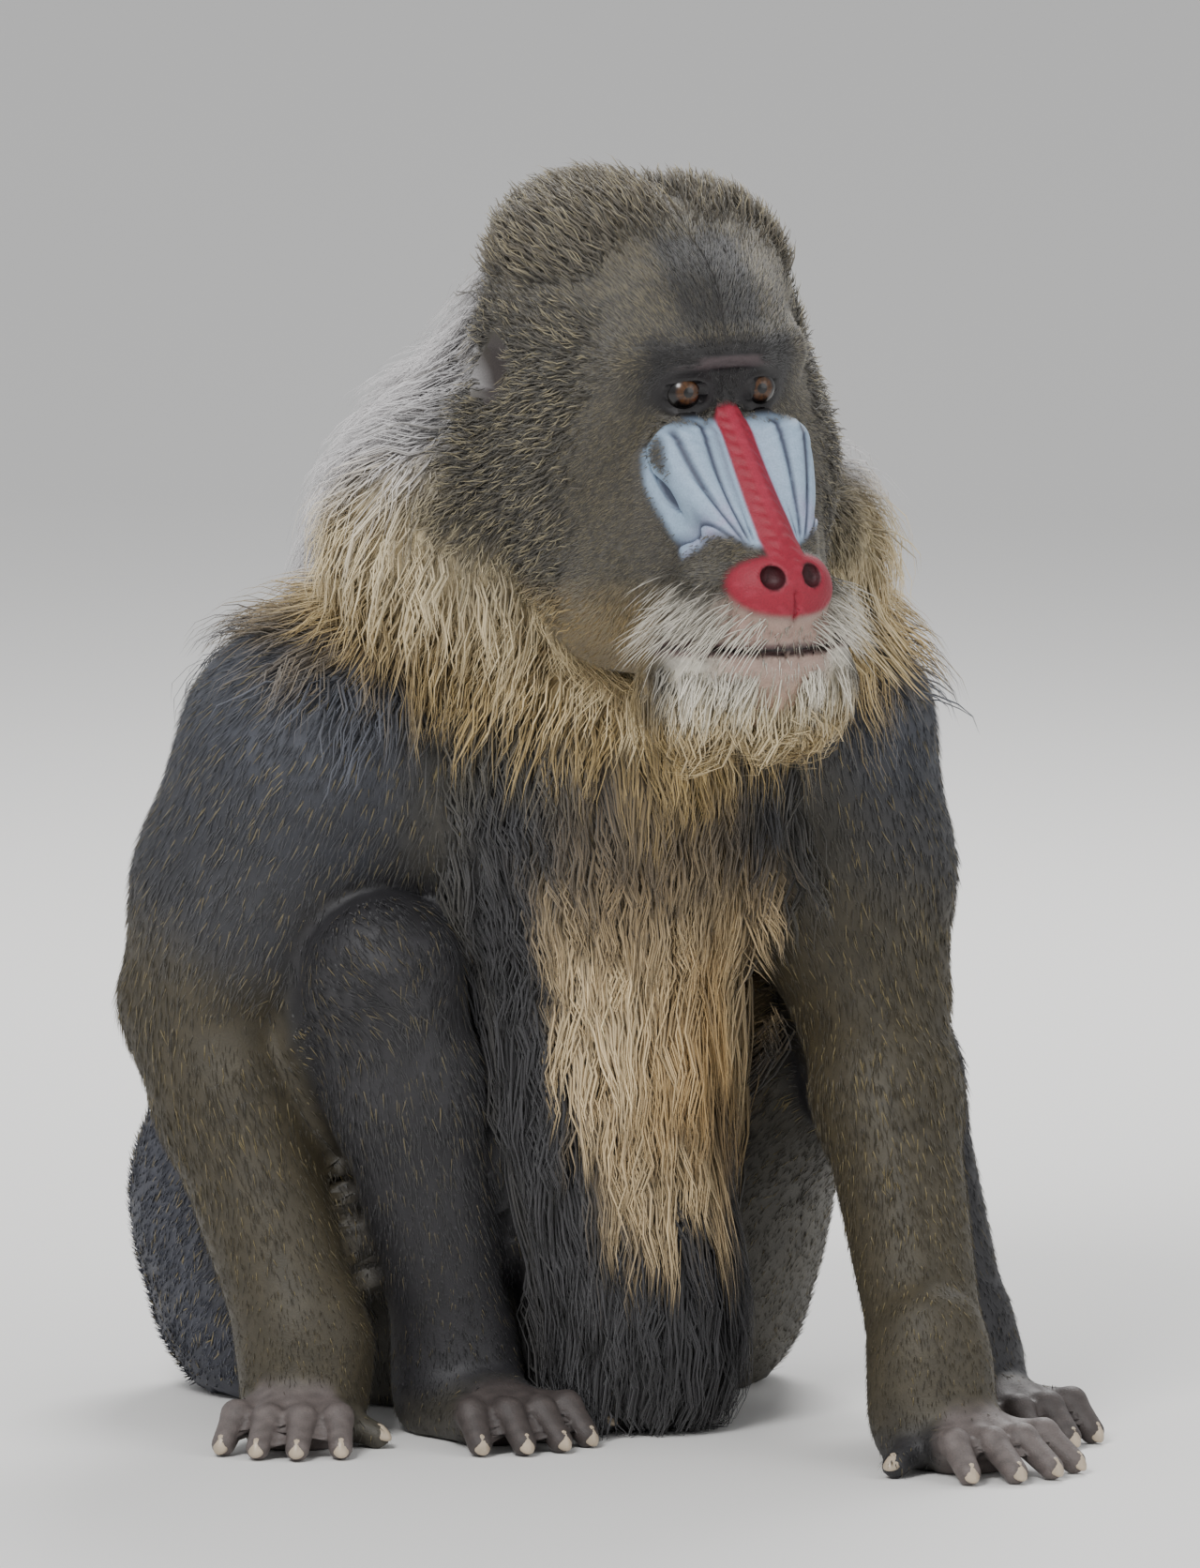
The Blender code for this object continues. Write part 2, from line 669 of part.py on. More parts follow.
def neck_front():
    """The room that the head takes in front of the neck."""
    reach, above = 0.35, 0.30
    corners = []
    for left in (-0.140, 0.140):
        for height in (THROAT_CUT_HEIGHT, EYES_MIDDLE[2] + above):
            rise = height - NECK_CUT_PLACE[2]
            lean = -rise * NECK_CUT_NORMAL[2] / float(NECK_CUT_NORMAL @ HEAD_FORWARD)
            near = NECK_CUT_PLACE + HEAD_FORWARD * lean + UP * rise + HEAD_LEFT * left
            corners.append(near)
            corners.append(near + HEAD_FORWARD * reach)
    shape = bmesh.new()
    for corner in corners:
        shape.verts.new(corner)
    bmesh.ops.convex_hull(shape, input=shape.verts)
    face_outwards(shape)
    mesh = bpy.data.meshes.new("neck_front")
    shape.to_mesh(mesh)
    shape.free()
    return link("neck_front", mesh)


def build_trunk():
    """Neck, chest, belly, pelvis, tail and both arms down to the wrists."""
    trunk = grown("trunk", ALL_TRUNK, lambda points: field(ALL_TRUNK, points), TRUNK_VOXEL,
                  TRUNK_FACES)
    room = inflated(trunk, GAP * 1.5)
    cuts = [
        floor_block(),
        neck_front(),
        slab("cut", body(0, -0.01, NECK_CUT_HEIGHT), unit(UP + BODY_FORWARD * 0.20), BODY_LEFT,
             SHOULDER_CUT, 0.30),
        slab("cut", body(0, 0.0, WAIST_CUT_HEIGHT), UP, BODY_LEFT, SHOULDER_CUT, 0.30),
        slab("cut", body(0, -0.020, WAIST_CUT_HEIGHT / 2 - 0.05), BODY_FORWARD, UP,
             WAIST_CUT_HEIGHT / 2 + 0.05, 0.146),
        slab("cut", TAIL_ROOT * 0.55 + TAIL_TIP * 0.45, unit(TAIL_TIP - TAIL_ROOT),
             BODY_LEFT, 0.035, 0.035),
    ]
    for side, sign in SIDES:
        low, high = 0.23, SHOULDER_CUT_HEIGHT
        cuts.append(slab("cut", body(sign * SHOULDER_CUT, 0, (low + high) / 2), BODY_LEFT, UP,
                         (high - low) / 2, 0.30))
        cuts.append(slab("cut", body(sign * (SHOULDER_CUT + 0.1), 0, high), UP, BODY_LEFT,
                         0.1, 0.22))
        lower = unit(WRIST[side] - ELBOW[side])
        upper = unit(ELBOW[side] - SHOULDER[side])
        cuts.append(slab("cut", ELBOW[side], unit(lower + upper), UP, 0.085, 0.085))
        cuts.append(slab("cut", WRIST[side], lower, BODY_LEFT, 0.070, 0.070))
    cut(trunk, cuts, folded=True)
    seats = {
        "neck": body(0, -0.06, 0.50),
        "chest": body(0, 0.0, 0.35),
        "belly": body(0, 0.04, 0.20),
        "pelvis": body(0, -0.13, 0.10),
        "tail": TAIL_ROOT * 0.2 + TAIL_TIP * 0.8,
    }
    for side, _ in SIDES:
        seats["upper_arm_" + side] = SHOULDER[side] * 0.4 + ELBOW[side] * 0.6
        seats["forearm_" + side] = ELBOW[side] * 0.5 + WRIST[side] * 0.5
    return parted(trunk, seats), room


def build_leg(side, room):
    """Thigh and shin, fitted against the trunk and arm with one gap."""
    forms = leg_forms(side)
    leg = grown("leg_" + side, forms, lambda points: field(forms, points), LEG_VOXEL, LEG_FACES)
    knee, ankle = KNEE[side], ANKLE[side]
    thigh_way, shin_way = unit(knee - HIP[side]), unit(ankle - knee)
    bend = unit(thigh_way + shin_way)
    cuts = [
        link("room", room.data.copy()),
        floor_block(),
        slab("cut", knee, bend, np.cross(thigh_way, shin_way), 0.300, 0.400),
        slab("cut", ankle, unit(knee - ankle), BODY_LEFT, 0.060, 0.060),
    ]
    cut(leg, cuts)
    outward = BODY_LEFT * (0.05 if side == "left" else -0.05)
    thigh_seat = HIP[side] * 0.7 + knee * 0.3 + outward
    return parted(leg, {"thigh_" + side: thigh_seat, "shin_" + side: knee * 0.4 + ankle * 0.6})


def build_end(name, limb, above, rooms=()):
    """A hand or foot, cut where it meets the limb above it and clear of other parts."""
    forms = limb_end_forms(limb)
    end = grown(name, forms, lambda points: field(forms, points), HAND_VOXEL, HAND_FACES)
    axis = unit(above - limb.root)
    across = unit(np.cross(axis, at(0.3, 1, 0)))
    cap = block("cap", limb.root + axis * (0.06 - GAP / 2), (across, np.cross(axis, across), axis),
                (0.08, 0.08, 0.06))
    cut(end, [floor_block(), cap] + [link("room", room.data.copy()) for room in rooms])
    return keep_largest(end)


def ellipsoid(name, centre, radii, segments=12, rings=7):
    """A closed egg shape with its axes along the head's."""
    shown = sphere(name, at(0, 0, 0), 1.0, segments, rings)
    for vertex in shown.data.vertices:
        reach = [vertex.co[i] * radii[i] for i in range(3)]
        place = centre + HEAD_LEFT * reach[0] + HEAD_FORWARD * reach[1] + UP * reach[2]
        vertex.co = Vector(place)
    return shown


def turned_out(shown):
    """Make sure that a closed mesh points out."""
    shape = bmesh.new()
    shape.from_mesh(shown.data)
    face_outwards(shape)
    shape.to_mesh(shown.data)
    shape.free()
    return shown


def ear_place(sign):
    """The middle of the hollow in the fur that an ear lies in."""
    return skull(sign * 0.093, -0.112, 0.004)


def build_ear(side, sign):
    """A thin open cup that lies in the hollow in the fur."""
    outer = [radius - GAP for radius in EAR_RADII]
    ear = turned_out(ellipsoid("ear_" + side, ear_place(sign), outer))
    bowl = ellipsoid("bowl", ear_place(sign) + HEAD_LEFT * sign * 0.0065,
                     (0.0125, 0.0155, 0.0205))
    cut(ear, [turned_out(bowl)])
    return keep_largest(ear)


def lid(sign, lift):
    """An eyelid: a tapered roll over the eyeball from corner to corner."""
    eye = skull(sign * EYE_SPACING / 2, -EYE_DEPTH, 0.0)
    centres, sizes, outs = [], [], []
    for step in range(6):
        share = step / 5 * 2 - 1
        turn = math.radians(68) * share
        rise = math.radians(lift) * (1 - share * share)
        way = HEAD_LEFT * math.sin(turn) * math.cos(rise)
        way = way + HEAD_FORWARD * math.cos(turn) * math.cos(rise) + UP * math.sin(rise)
        centres.append(eye + way * (EYE_RADIUS + 0.0003))
        sizes.append(0.0032 - 0.0014 * abs(share))
        outs.append(way)
    shown = tube("lid", centres, [size * 1.15 for size in sizes], sizes, 5, outs)
    return shown


def build_head():
    """Head and jaw, parted along the line of the mouth."""
    head = grown("head", HEAD_FORMS + BEARD_FORMS, head_field, HEAD_VOXEL, HEAD_FACES)
    fuse(head, [lid(sign, lift) for _, sign in SIDES for lift in (40, -38)])
    cuts = head_room(GAP)
    cuts.append(slab("cut", at(*EYES_MIDDLE[:2], JAW_TOP), UP, HEAD_LEFT, 0.35, 0.35))
    for _, sign in SIDES:
        eye = skull(sign * EYE_SPACING / 2, -EYE_DEPTH, 0.0)
        cuts.append(sphere("socket", eye, EYE_RADIUS + GAP))
        cuts.append(turned_out(ellipsoid("pocket", ear_place(sign), EAR_RADII)))
        nostril = ellipsoid("nostril", skull(sign * 0.0125, 0.090, -0.101),
                            (0.0062, 0.0110, 0.0058), 8, 5)
        cuts.append(turned_out(nostril))
    cut(head, cuts, folded=True)
    seats = {"head": skull(0, -0.10, 0.02), "jaw": skull(0, 0.035, -0.165)}
    return parted(head, seats)


# Locks of the coat
@dataclass(frozen=True)
class Coat:
    """A family of locks: their size, how far apart they grow and how they lie."""

    length: float
    width: float
    thickness: float
    lift: float
    spacing: float
    curl: float = 0.35
    hang: float = 0.0


CREST = Coat(0.062, 0.0160, 0.0050, 0.014, 0.0290, 0.35, 0.25)
CHEEK = Coat(0.052, 0.0140, 0.0045, 0.009, 0.0270)
MANE = Coat(0.105, 0.0200, 0.0060, 0.016, 0.0390)
BEARD = Coat(0.046, 0.0130, 0.0055, 0.006, 0.0290, 0.3, 0.8)
BIB = Coat(0.090, 0.0150, 0.0050, 0.012, 0.0400)
BELLY = Coat(0.110, 0.0140, 0.0050, 0.013, 0.0340, 0.5)
LOCK_SINK = 0.008
LOCK_SPARE = 0.0005
LOCK_RISES = (0.15, 0.70, 0.95, 0.60)
LOCK_WIDTHS = (0.62, 1.00, 0.92, 0.60, 0.05)
LOCK_SHARES = (1.0, 0.8, 0.6)
LOCK_TRIES = 5
FAULT_REACH = 0.022
FLOOR_CLEAR = 0.012


def flesh(points):
    """Distance from points to the whole body under its locks."""
    fields = [field(ALL_TRUNK, points), field(HEAD_FORMS + BEARD_FORMS, points)]
    fields += [field(leg_forms(side), points) for side, _ in SIDES]
    return np.min(fields, axis=0)


def rows_unit(rows):
    """Rows of length one."""
    return rows / np.maximum(np.linalg.norm(rows, axis=1), 1e-9)[:, None]


def onto(places, heights):
    """Places moved straight out or in until they stand at a height over the body."""
    for _ in range(4):
        slope = slope_of(flesh, places)
        steep = np.maximum((slope ** 2).sum(axis=1), 0.25)
        places = places - slope * ((flesh(places) - heights) / steep)[:, None]
    return places


def roots_on(shown, spacing, grows, chance):
    """Places spread over those faces of an object where a lock grows."""
    mesh = shown.data
    mesh.calc_loop_triangles()
    corners = np.array([triangle.vertices[:] for triangle in mesh.loop_triangles])
    a, b, c = (coordinates(mesh)[corners[:, i]] for i in range(3))
    areas = np.linalg.norm(np.cross(b - a, c - a), axis=1) / 2
    picks = chance.choice(len(areas), size=3000, p=areas / areas.sum())
    first, second = chance.random(3000), chance.random(3000)
    over = first + second > 1
    first[over], second[over] = 1 - first[over], 1 - second[over]
    places = a[picks] + (b - a)[picks] * first[:, None] + (c - a)[picks] * second[:, None]
    places = places[np.abs(flesh(places)) < 0.004]
    normals = rows_unit(slope_of(flesh, places))
    kept = []
    for index in np.nonzero(grows(places, normals))[0]:
        if all(np.linalg.norm(places[index] - places[other]) > spacing for other in kept):
            kept.append(index)
    return places[kept]


def lock_lines(roots, ways, coat, lengths, curls):
    """The middle line of each lock, and the way out at each place on it."""
    places = onto(roots, np.full(len(roots), -LOCK_SINK))
    lines, outs = [places], [rows_unit(slope_of(flesh, places))]
    for rise in LOCK_RISES:
        out = rows_unit(slope_of(flesh, places))
        ahead = rows_unit(ways - out * (ways * out).sum(axis=1)[:, None])
        ahead = rows_unit(ahead + np.cross(out, ahead) * curls[:, None])
        curls = -curls * 0.8
        stride = lengths[:, None] / len(LOCK_RISES)
        hanging = 0.0 if rise == LOCK_RISES[0] else coat.hang
        free = places + ways * stride
        lying = onto(places + ahead * stride, coat.lift * rise)
        places = lying * (1 - hanging) + free * hanging
        places[:, 2] = np.maximum(places[:, 2], FLOOR_CLEAR)
        lines.append(places)
        outs.append(rows_unit(slope_of(flesh, places)))
    return np.stack(lines, axis=1), np.stack(outs, axis=1)


def flat_lock(line, outs, coat, spare):
    """One tapered lock: a low ridge along its top and a flat underside."""
    widths = [coat.width * share * 1.15 + spare for share in LOCK_WIDTHS]
    heights = [coat.thickness * (0.35 + 0.65 * share) * 0.67 + spare for share in LOCK_WIDTHS]
    heights[-1] = 0.0006 + spare
    return tube("lock", list(line), widths, heights, 3, list(outs), math.pi / 2)


def tree_of(shown):
    """A search tree over an object's faces."""
    shape = bmesh.new()
    shape.from_mesh(shown.data)
    tree = BVHTree.FromBMesh(shape)
    shape.free()
    return tree


def faults(mesh):
    """The middles of the edges along which a mesh touches itself."""
    shape = bmesh.new()
    shape.from_mesh(mesh)
    found = [np.array((edge.verts[0].co + edge.verts[1].co) / 2) for edge in shape.edges
             if not edge.is_manifold]
    shape.free()
    return found


def clear_of(line, places):
    """Whether the middle line of a lock stays away from some places."""
    steps = np.linspace(0, len(line) - 1, 25)
    fine = np.stack([np.interp(steps, np.arange(len(line)), line[:, i]) for i in range(3)], axis=1)
    return all(np.linalg.norm(fine - place, axis=1).min() > FAULT_REACH for place in places)


def crosses_itself(shown, tree):
    """Whether a closed mesh folds through its own faces."""
    corners = [set(face.vertices) for face in shown.data.polygons]
    return any(not corners[a] & corners[b] for a, b in tree.overlap(tree))


def grow_locks(parts, name, families):
    """Root families of locks in a part, each lock short enough to clear the others."""
    others = [tree_of(part) for other, part in parts.items() if other != name]
    locks = []
    for seed, (coat, grows, lie) in enumerate(families):
        chance = np.random.default_rng(40 + seed)
        roots = roots_on(parts[name], coat.spacing, grows, chance)
        if len(roots) == 0:
            continue
        ways = rows_unit(lie(roots))
        lengths = coat.length * chance.uniform(0.85, 1.12, len(roots))
        curls = chance.uniform(-coat.curl, coat.curl, len(roots))
        pending = np.arange(len(roots))
        for share in LOCK_SHARES:
            lines, outs = lock_lines(roots[pending], ways[pending], coat,
                                     lengths[pending] * share, curls[pending])
            blocked = []
            for row, index in enumerate(pending):
                trial = flat_lock(lines[row], outs[row], coat, LOCK_SPARE)
                tree = tree_of(trial)
                folded = crosses_itself(trial, tree)
                drop(trial)
                if folded or any(other.overlap(tree) for other in others):
                    blocked.append(index)
                else:
                    locks.append((lines[row], outs[row], coat))
            pending = np.array(blocked, dtype=int)
            if len(pending) == 0:
                break
    bare = parts[name].data.copy()
    for _ in range(LOCK_TRIES):
        fuse(parts[name], [flat_lock(line, outs, coat, 0.0) for line, outs, coat in locks],
             "MANIFOLD")
        keep_largest(parts[name])
        touching = faults(parts[name].data)
        if len(touching) == 0:
            break
        locks = [lock for lock in locks if clear_of(lock[0], touching)]
        parts[name].data = bare.copy()
    bpy.data.meshes.remove(bare)


def behind_cut(places):
    """How far places stand in front of the cut between head and neck."""
    return (places - NECK_CUT_PLACE) @ NECK_CUT_NORMAL


def sideways(places):
    """The level way out from the head's middle plane to each place."""
    return np.sign((places - EYES_MIDDLE) @ HEAD_LEFT)[:, None] * HEAD_LEFT


def crest_grows(places, normals):
    """The top of the head behind the brow."""
    offset = places - EYES_MIDDLE
    return ((offset[:, 2] > 0.050) & (behind_cut(places) > 0.045) & (normals[:, 2] > 0.25)
            & (offset @ HEAD_FORWARD < -0.045))


def crest_lie(places):
    """Back, up and a little outwards, so that the crown shows two humps."""
    return -HEAD_FORWARD * 0.9 + UP * 0.5 + sideways(places) * 0.15


def cheek_grows(places, normals):
    """The rear of each cheek, from below the ear to the throat."""
    offset = places - EYES_MIDDLE
    return ((np.abs(offset @ HEAD_LEFT) > 0.070) & (offset[:, 2] < -0.020)
            & (offset[:, 2] > -0.115) & (behind_cut(places) > 0.040)
            & (offset @ HEAD_FORWARD < -0.040) & (np.abs(normals @ HEAD_LEFT) > 0.3))


def cheek_lie(places):
    """Back and down over the cheek."""
    return -HEAD_FORWARD * 0.8 - UP * 0.5 + sideways(places) * 0.2


def mane_grows(places, normals):
    """The whole neck behind the head's cut, but for its underside."""
    return (behind_cut(places) < -0.010) & (places[:, 2] > 0.430) & (normals[:, 2] > -0.5)


def mane_lie(places):
    """Back and down from the head, spreading over the shoulders."""
    return -NECK_CUT_NORMAL * 0.50 - UP * 0.85 + sideways(places) * 0.10


def beard_grows(places, normals):
    """The chin and both lobes of the beard."""
    offset = places - EYES_MIDDLE
    return (offset[:, 2] < -0.156) & (offset @ HEAD_FORWARD > -0.010) & (normals[:, 2] < 0.5)


def beard_lie(places):
    """Down, a little back and out to the sides."""
    return -UP - HEAD_FORWARD * 0.10 + sideways(places) * 0.12


def bib_grows(places, normals):
    """The front of the chest."""
    return (places[:, 2] > 0.310) & (places[:, 2] < 0.440) & (normals @ BODY_FORWARD > 0.55)


def belly_grows(places, normals):
    """The front of the belly."""
    return (places[:, 2] > 0.060) & (places[:, 2] < 0.265) & (normals @ BODY_FORWARD > 0.45)


def front_lie(places):
    """Straight down, drawing in to the middle of the belly."""
    aside = (places - BODY_AXIS) @ BODY_LEFT
    return -UP - np.outer(aside, BODY_LEFT) * 3.0


def colour(shown, name, base, rough):
    """Give an object its own plain material."""
    look = bpy.data.materials.new(name)
    look.use_nodes = True
    shader = look.node_tree.nodes["Principled BSDF"]
    shader.inputs["Base Color"].default_value = (*base, 1.0)
    shader.inputs["Roughness"].default_value = rough
    shown.data.materials.clear()
    shown.data.materials.append(look)


COAT_GREY = (0.055, 0.055, 0.060)
COLOURS = {
    "head": (0.070, 0.066, 0.060), "jaw": (0.55, 0.50, 0.40), "neck": (0.55, 0.50, 0.42),
    "chest": (0.20, 0.15, 0.09), "belly": (0.50, 0.38, 0.20), "pelvis": COAT_GREY,
    "tail": COAT_GREY, "eye": (0.16, 0.06, 0.02), "hand": (0.18, 0.15, 0.14),
    "foot": (0.12, 0.11, 0.11),
}


def main():
    """Build every part, then stand the model on the middle of its footprint."""
    for old in list(bpy.data.objects):
        bpy.data.objects.remove(old, do_unlink=True)
    parts, room = build_trunk()
    for side, _ in SIDES:
        parts.update(build_leg(side, room))
    for side, _ in SIDES:
        parts["hand_" + side] = build_end("hand_" + side, HANDS[side], ELBOW[side])
        parts["foot_" + side] = build_end("foot_" + side, FEET[side], KNEE[side], [room])
    drop(room)
    parts.update(build_head())
    for side, sign in SIDES:
        eye = skull(sign * EYE_SPACING / 2, -EYE_DEPTH, 0.0)
        parts["eye_" + side] = sphere("eye_" + side, eye, EYE_RADIUS)
        parts["ear_" + side] = build_ear(side, sign)
    grow_locks(parts, "head", [(CREST, crest_grows, crest_lie), (CHEEK, cheek_grows, cheek_lie)])
    grow_locks(parts, "neck", [(MANE, mane_grows, mane_lie)])
    grow_locks(parts, "jaw", [(BEARD, beard_grows, beard_lie)])
    grow_locks(parts, "chest", [(BIB, bib_grows, front_lie)])
    grow_locks(parts, "belly", [(BELLY, belly_grows, front_lie)])
    for name, part in parts.items():
        part.name = name
        tone = next((COLOURS[key] for key in COLOURS if name.startswith(key)), COAT_GREY)
        colour(part, name, tone, 0.7)
    spans = np.concatenate([coordinates(part.data) for part in parts.values()])
    low, high = spans.min(axis=0), spans.max(axis=0)
    centre = Vector(((low[0] + high[0]) / 2, (low[1] + high[1]) / 2, low[2]))
    for part in parts.values():
        part.location = -centre


random.seed(7)
main()
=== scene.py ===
"""Visual model of the seated mandrill: one skin, its coat, eyes, nails and whiskers.

The skin is drawn over the same blended forms as the solids, a coat's depth inside
them. Fur is solid mesh: thin tapered tufts and long clumped strands that follow the
lie of the coat. Markings are one function of place that skin and coat both use.
"""
import logging
import math
from collections.abc import Callable
from dataclasses import dataclass
from enum import Enum

import bmesh
import bpy
import numpy as np
from mathutils import Matrix, Vector
from mathutils.bvhtree import BVHTree


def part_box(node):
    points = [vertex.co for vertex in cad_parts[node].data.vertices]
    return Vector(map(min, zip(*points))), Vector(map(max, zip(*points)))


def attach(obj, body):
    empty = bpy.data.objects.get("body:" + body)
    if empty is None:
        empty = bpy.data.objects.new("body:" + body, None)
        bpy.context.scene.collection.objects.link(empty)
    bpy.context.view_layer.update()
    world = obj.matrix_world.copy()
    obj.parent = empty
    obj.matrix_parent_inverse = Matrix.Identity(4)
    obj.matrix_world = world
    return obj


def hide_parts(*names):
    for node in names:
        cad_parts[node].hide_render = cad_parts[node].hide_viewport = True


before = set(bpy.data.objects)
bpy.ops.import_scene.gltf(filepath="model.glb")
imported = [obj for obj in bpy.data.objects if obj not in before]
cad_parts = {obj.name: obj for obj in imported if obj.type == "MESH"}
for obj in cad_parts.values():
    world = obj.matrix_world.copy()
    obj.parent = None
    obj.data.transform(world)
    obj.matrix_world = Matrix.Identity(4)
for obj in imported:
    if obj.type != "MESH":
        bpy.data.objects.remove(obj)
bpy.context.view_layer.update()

logging.basicConfig(level=logging.INFO, format="%(message)s")
LOG = logging.getLogger("mandrill")

# Driving dimensions
BODY_YAW = math.radians(25)
HEAD_YAW = math.radians(27)
MUZZLE_SLOPE = math.radians(50)
BODY_AXIS = np.array((-0.030, 0.030, 0.0))
EYES_MIDDLE = np.array((0.072, -0.170, 0.641))
EYE_SPACING = 0.049
EYE_RADIUS = 0.0115
EYE_DEPTH = 0.0085
JAW_TOP = 0.4955

UP = np.array((0.0, 0.0, 1.0))
BODY_FORWARD = np.array((math.sin(BODY_YAW), -math.cos(BODY_YAW), 0.0))
BODY_LEFT = np.cross(UP, BODY_FORWARD)
HEAD_FORWARD = np.array((math.sin(HEAD_YAW), -math.cos(HEAD_YAW), 0.0))
HEAD_LEFT = np.cross(UP, HEAD_FORWARD)
MUZZLE_AXIS = HEAD_FORWARD * math.cos(MUZZLE_SLOPE) - UP * math.sin(MUZZLE_SLOPE)
MUZZLE_UP = HEAD_FORWARD * math.sin(MUZZLE_SLOPE) + UP * math.cos(MUZZLE_SLOPE)
SIDES = (("right", -1), ("left", 1))


@dataclass(frozen=True)
class Form:
    """A tapered round-ended form between two points, stretched across it."""

    start: np.ndarray
    end: np.ndarray
    start_radius: float
    end_radius: float
    soft: float = 0.03
    stretch: tuple = ()


def body(left: float, forward: float, up: float) -> np.ndarray:
    """A place given from the trunk's own axis."""
    return BODY_AXIS + BODY_LEFT * left + BODY_FORWARD * forward + UP * up


def skull(left: float, forward: float, up: float) -> np.ndarray:
    """A place given from the middle of the eyes, level."""
    return EYES_MIDDLE + HEAD_LEFT * left + HEAD_FORWARD * forward + UP * up


def muzzle(left: float, along: float, out: float) -> np.ndarray:
    """A place given from the middle of the eyes, along the bridge of the nose."""
    return EYES_MIDDLE + HEAD_LEFT * left + MUZZLE_AXIS * along + MUZZLE_UP * out


def at(x: float, y: float, z: float) -> np.ndarray:
    """A place given in the model's own axes."""
    return np.array((x, y, z), dtype=float)


def ball(centre: np.ndarray, radius: float, soft: float = 0.03, stretch: tuple = ()) -> Form:
    """A round form, stretched across its ways."""
    return Form(centre, centre, radius, radius, soft, stretch)


# The trunk, neck, arms and tail
SHOULDER = {"right": at(-0.168, -0.030, 0.402), "left": at(0.118, 0.055, 0.408)}
ELBOW = {"right": at(-0.238, 0.000, 0.255), "left": at(0.159, -0.005, 0.262)}
WRIST = {"right": at(-0.178, -0.072, 0.056), "left": at(0.194, -0.168, 0.056)}
TAIL_ROOT = body(0.0, -0.190, 0.170)
TAIL_TIP = body(0.005, -0.262, 0.262)

TRUNK_FORMS = [
    ball(body(0.0, 0.010, 0.350), 0.120, 0.0, ((UP, 1.05), (BODY_FORWARD, 1.12))),
    ball(body(0.0, -0.060, 0.455), 0.112, 0.06, ((BODY_LEFT, 1.12),)),
    ball(body(0.0, -0.050, 0.545), 0.096, 0.06, ((BODY_LEFT, 1.12),)),
    Form(body(0.0, 0.040, 0.580), body(0.0, -0.02, 0.480), 0.085, 0.100, 0.05),
    ball(body(0.0, 0.060, 0.420), 0.085, 0.05, ((BODY_LEFT, 1.15),)),
    ball(body(0.0, 0.020, 0.200), 0.092, 0.05, ((UP, 1.45), (BODY_FORWARD, 1.15))),
    ball(body(0.0, -0.080, 0.280), 0.110, 0.06, ((UP, 1.3),)),
    ball(body(0.0, -0.120, 0.120), 0.118, 0.06, ((BODY_LEFT, 1.12),)),
    ball(body(0.0, -0.100, 0.030), 0.085, 0.04, ((BODY_LEFT, 1.25),)),
    ball(body(0.025, 0.065, 0.070), 0.062, 0.04, ((UP, 1.35),)),
    ball(skull(0.0, -0.112, 0.015), 0.094, 0.04, ((HEAD_FORWARD, 1.20),)),
    ball(skull(0.0, -0.150, -0.060), 0.098, 0.05),
    ball(skull(-0.034, -0.120, 0.068), 0.046, 0.03, ((HEAD_FORWARD, 1.3),)),
    ball(skull(0.034, -0.105, 0.062), 0.044, 0.03, ((HEAD_FORWARD, 1.3),)),
]
MANE_FORMS = [
    ball(skull(-0.105, -0.155, -0.095), 0.074, 0.05),
    ball(skull(0.112, -0.140, -0.115), 0.062, 0.05),
]
TAIL_FORM = Form(TAIL_ROOT, TAIL_TIP, 0.021, 0.013, 0.02)


def arm_forms(side: str) -> list[Form]:
    """Upper arm, elbow and forearm out to the tips of their short fur."""
    shoulder, elbow, wrist = SHOULDER[side], ELBOW[side], WRIST[side]
    thick = 1.0 if side == "right" else 0.92
    middle = shoulder * 0.45 + elbow * 0.55
    belly_of_arm = elbow * 0.72 + wrist * 0.28
    return [
        ball(shoulder, 0.086 * thick, 0.05),
        Form(shoulder, middle, 0.086 * thick, 0.076 * thick, 0.03),
        Form(middle, elbow, 0.076 * thick, 0.053 * thick, 0.03),
        Form(elbow, belly_of_arm, 0.053 * thick, 0.050 * thick, 0.02),
        Form(belly_of_arm, wrist, 0.050 * thick, 0.041 * thick, 0.02),
        Form(wrist, wrist + at(0.0, -0.012, -0.03), 0.041 * thick, 0.032, 0.02),
    ]


# The legs, folded with the knees up
HIP = {"right": at(-0.176, 0.130, 0.120), "left": at(0.030, 0.165, 0.120)}
KNEE = {"right": at(-0.131, -0.085, 0.283), "left": at(0.150, 0.050, 0.270)}
ANKLE = {"right": at(-0.088, -0.040, 0.048), "left": at(0.212, -0.035, 0.048)}


def leg_forms(side: str) -> list[Form]:
    """Buttock, thigh, knee and shin."""
    hip, knee, ankle = HIP[side], KNEE[side], ANKLE[side]
    middle = hip * 0.5 + knee * 0.5
    calf = knee * 0.7 + ankle * 0.3
    return [
        ball(hip, 0.108, 0.0),
        ball(at(*hip[:2], 0.055), 0.085, 0.05),
        Form(hip, middle, 0.105, 0.072, 0.03),
        Form(middle, knee, 0.072, 0.048, 0.03),
        Form(knee, calf, 0.047, 0.048, 0.02),
        Form(calf, ankle, 0.048, 0.038, 0.02),
        Form(ankle, ankle + at(0.0, -0.01, -0.03), 0.037, 0.030, 0.02),
    ]


@dataclass(frozen=True)
class Digits:
    """A hand or foot: where it starts, where it points and how it spreads."""

    root: np.ndarray
    heading: float
    palm: float
    palm_width: float
    lengths: tuple
    spread: tuple
    radius: float
    thumb_length: float
    thumb_turn: float
    thumb_side: int
    height: float


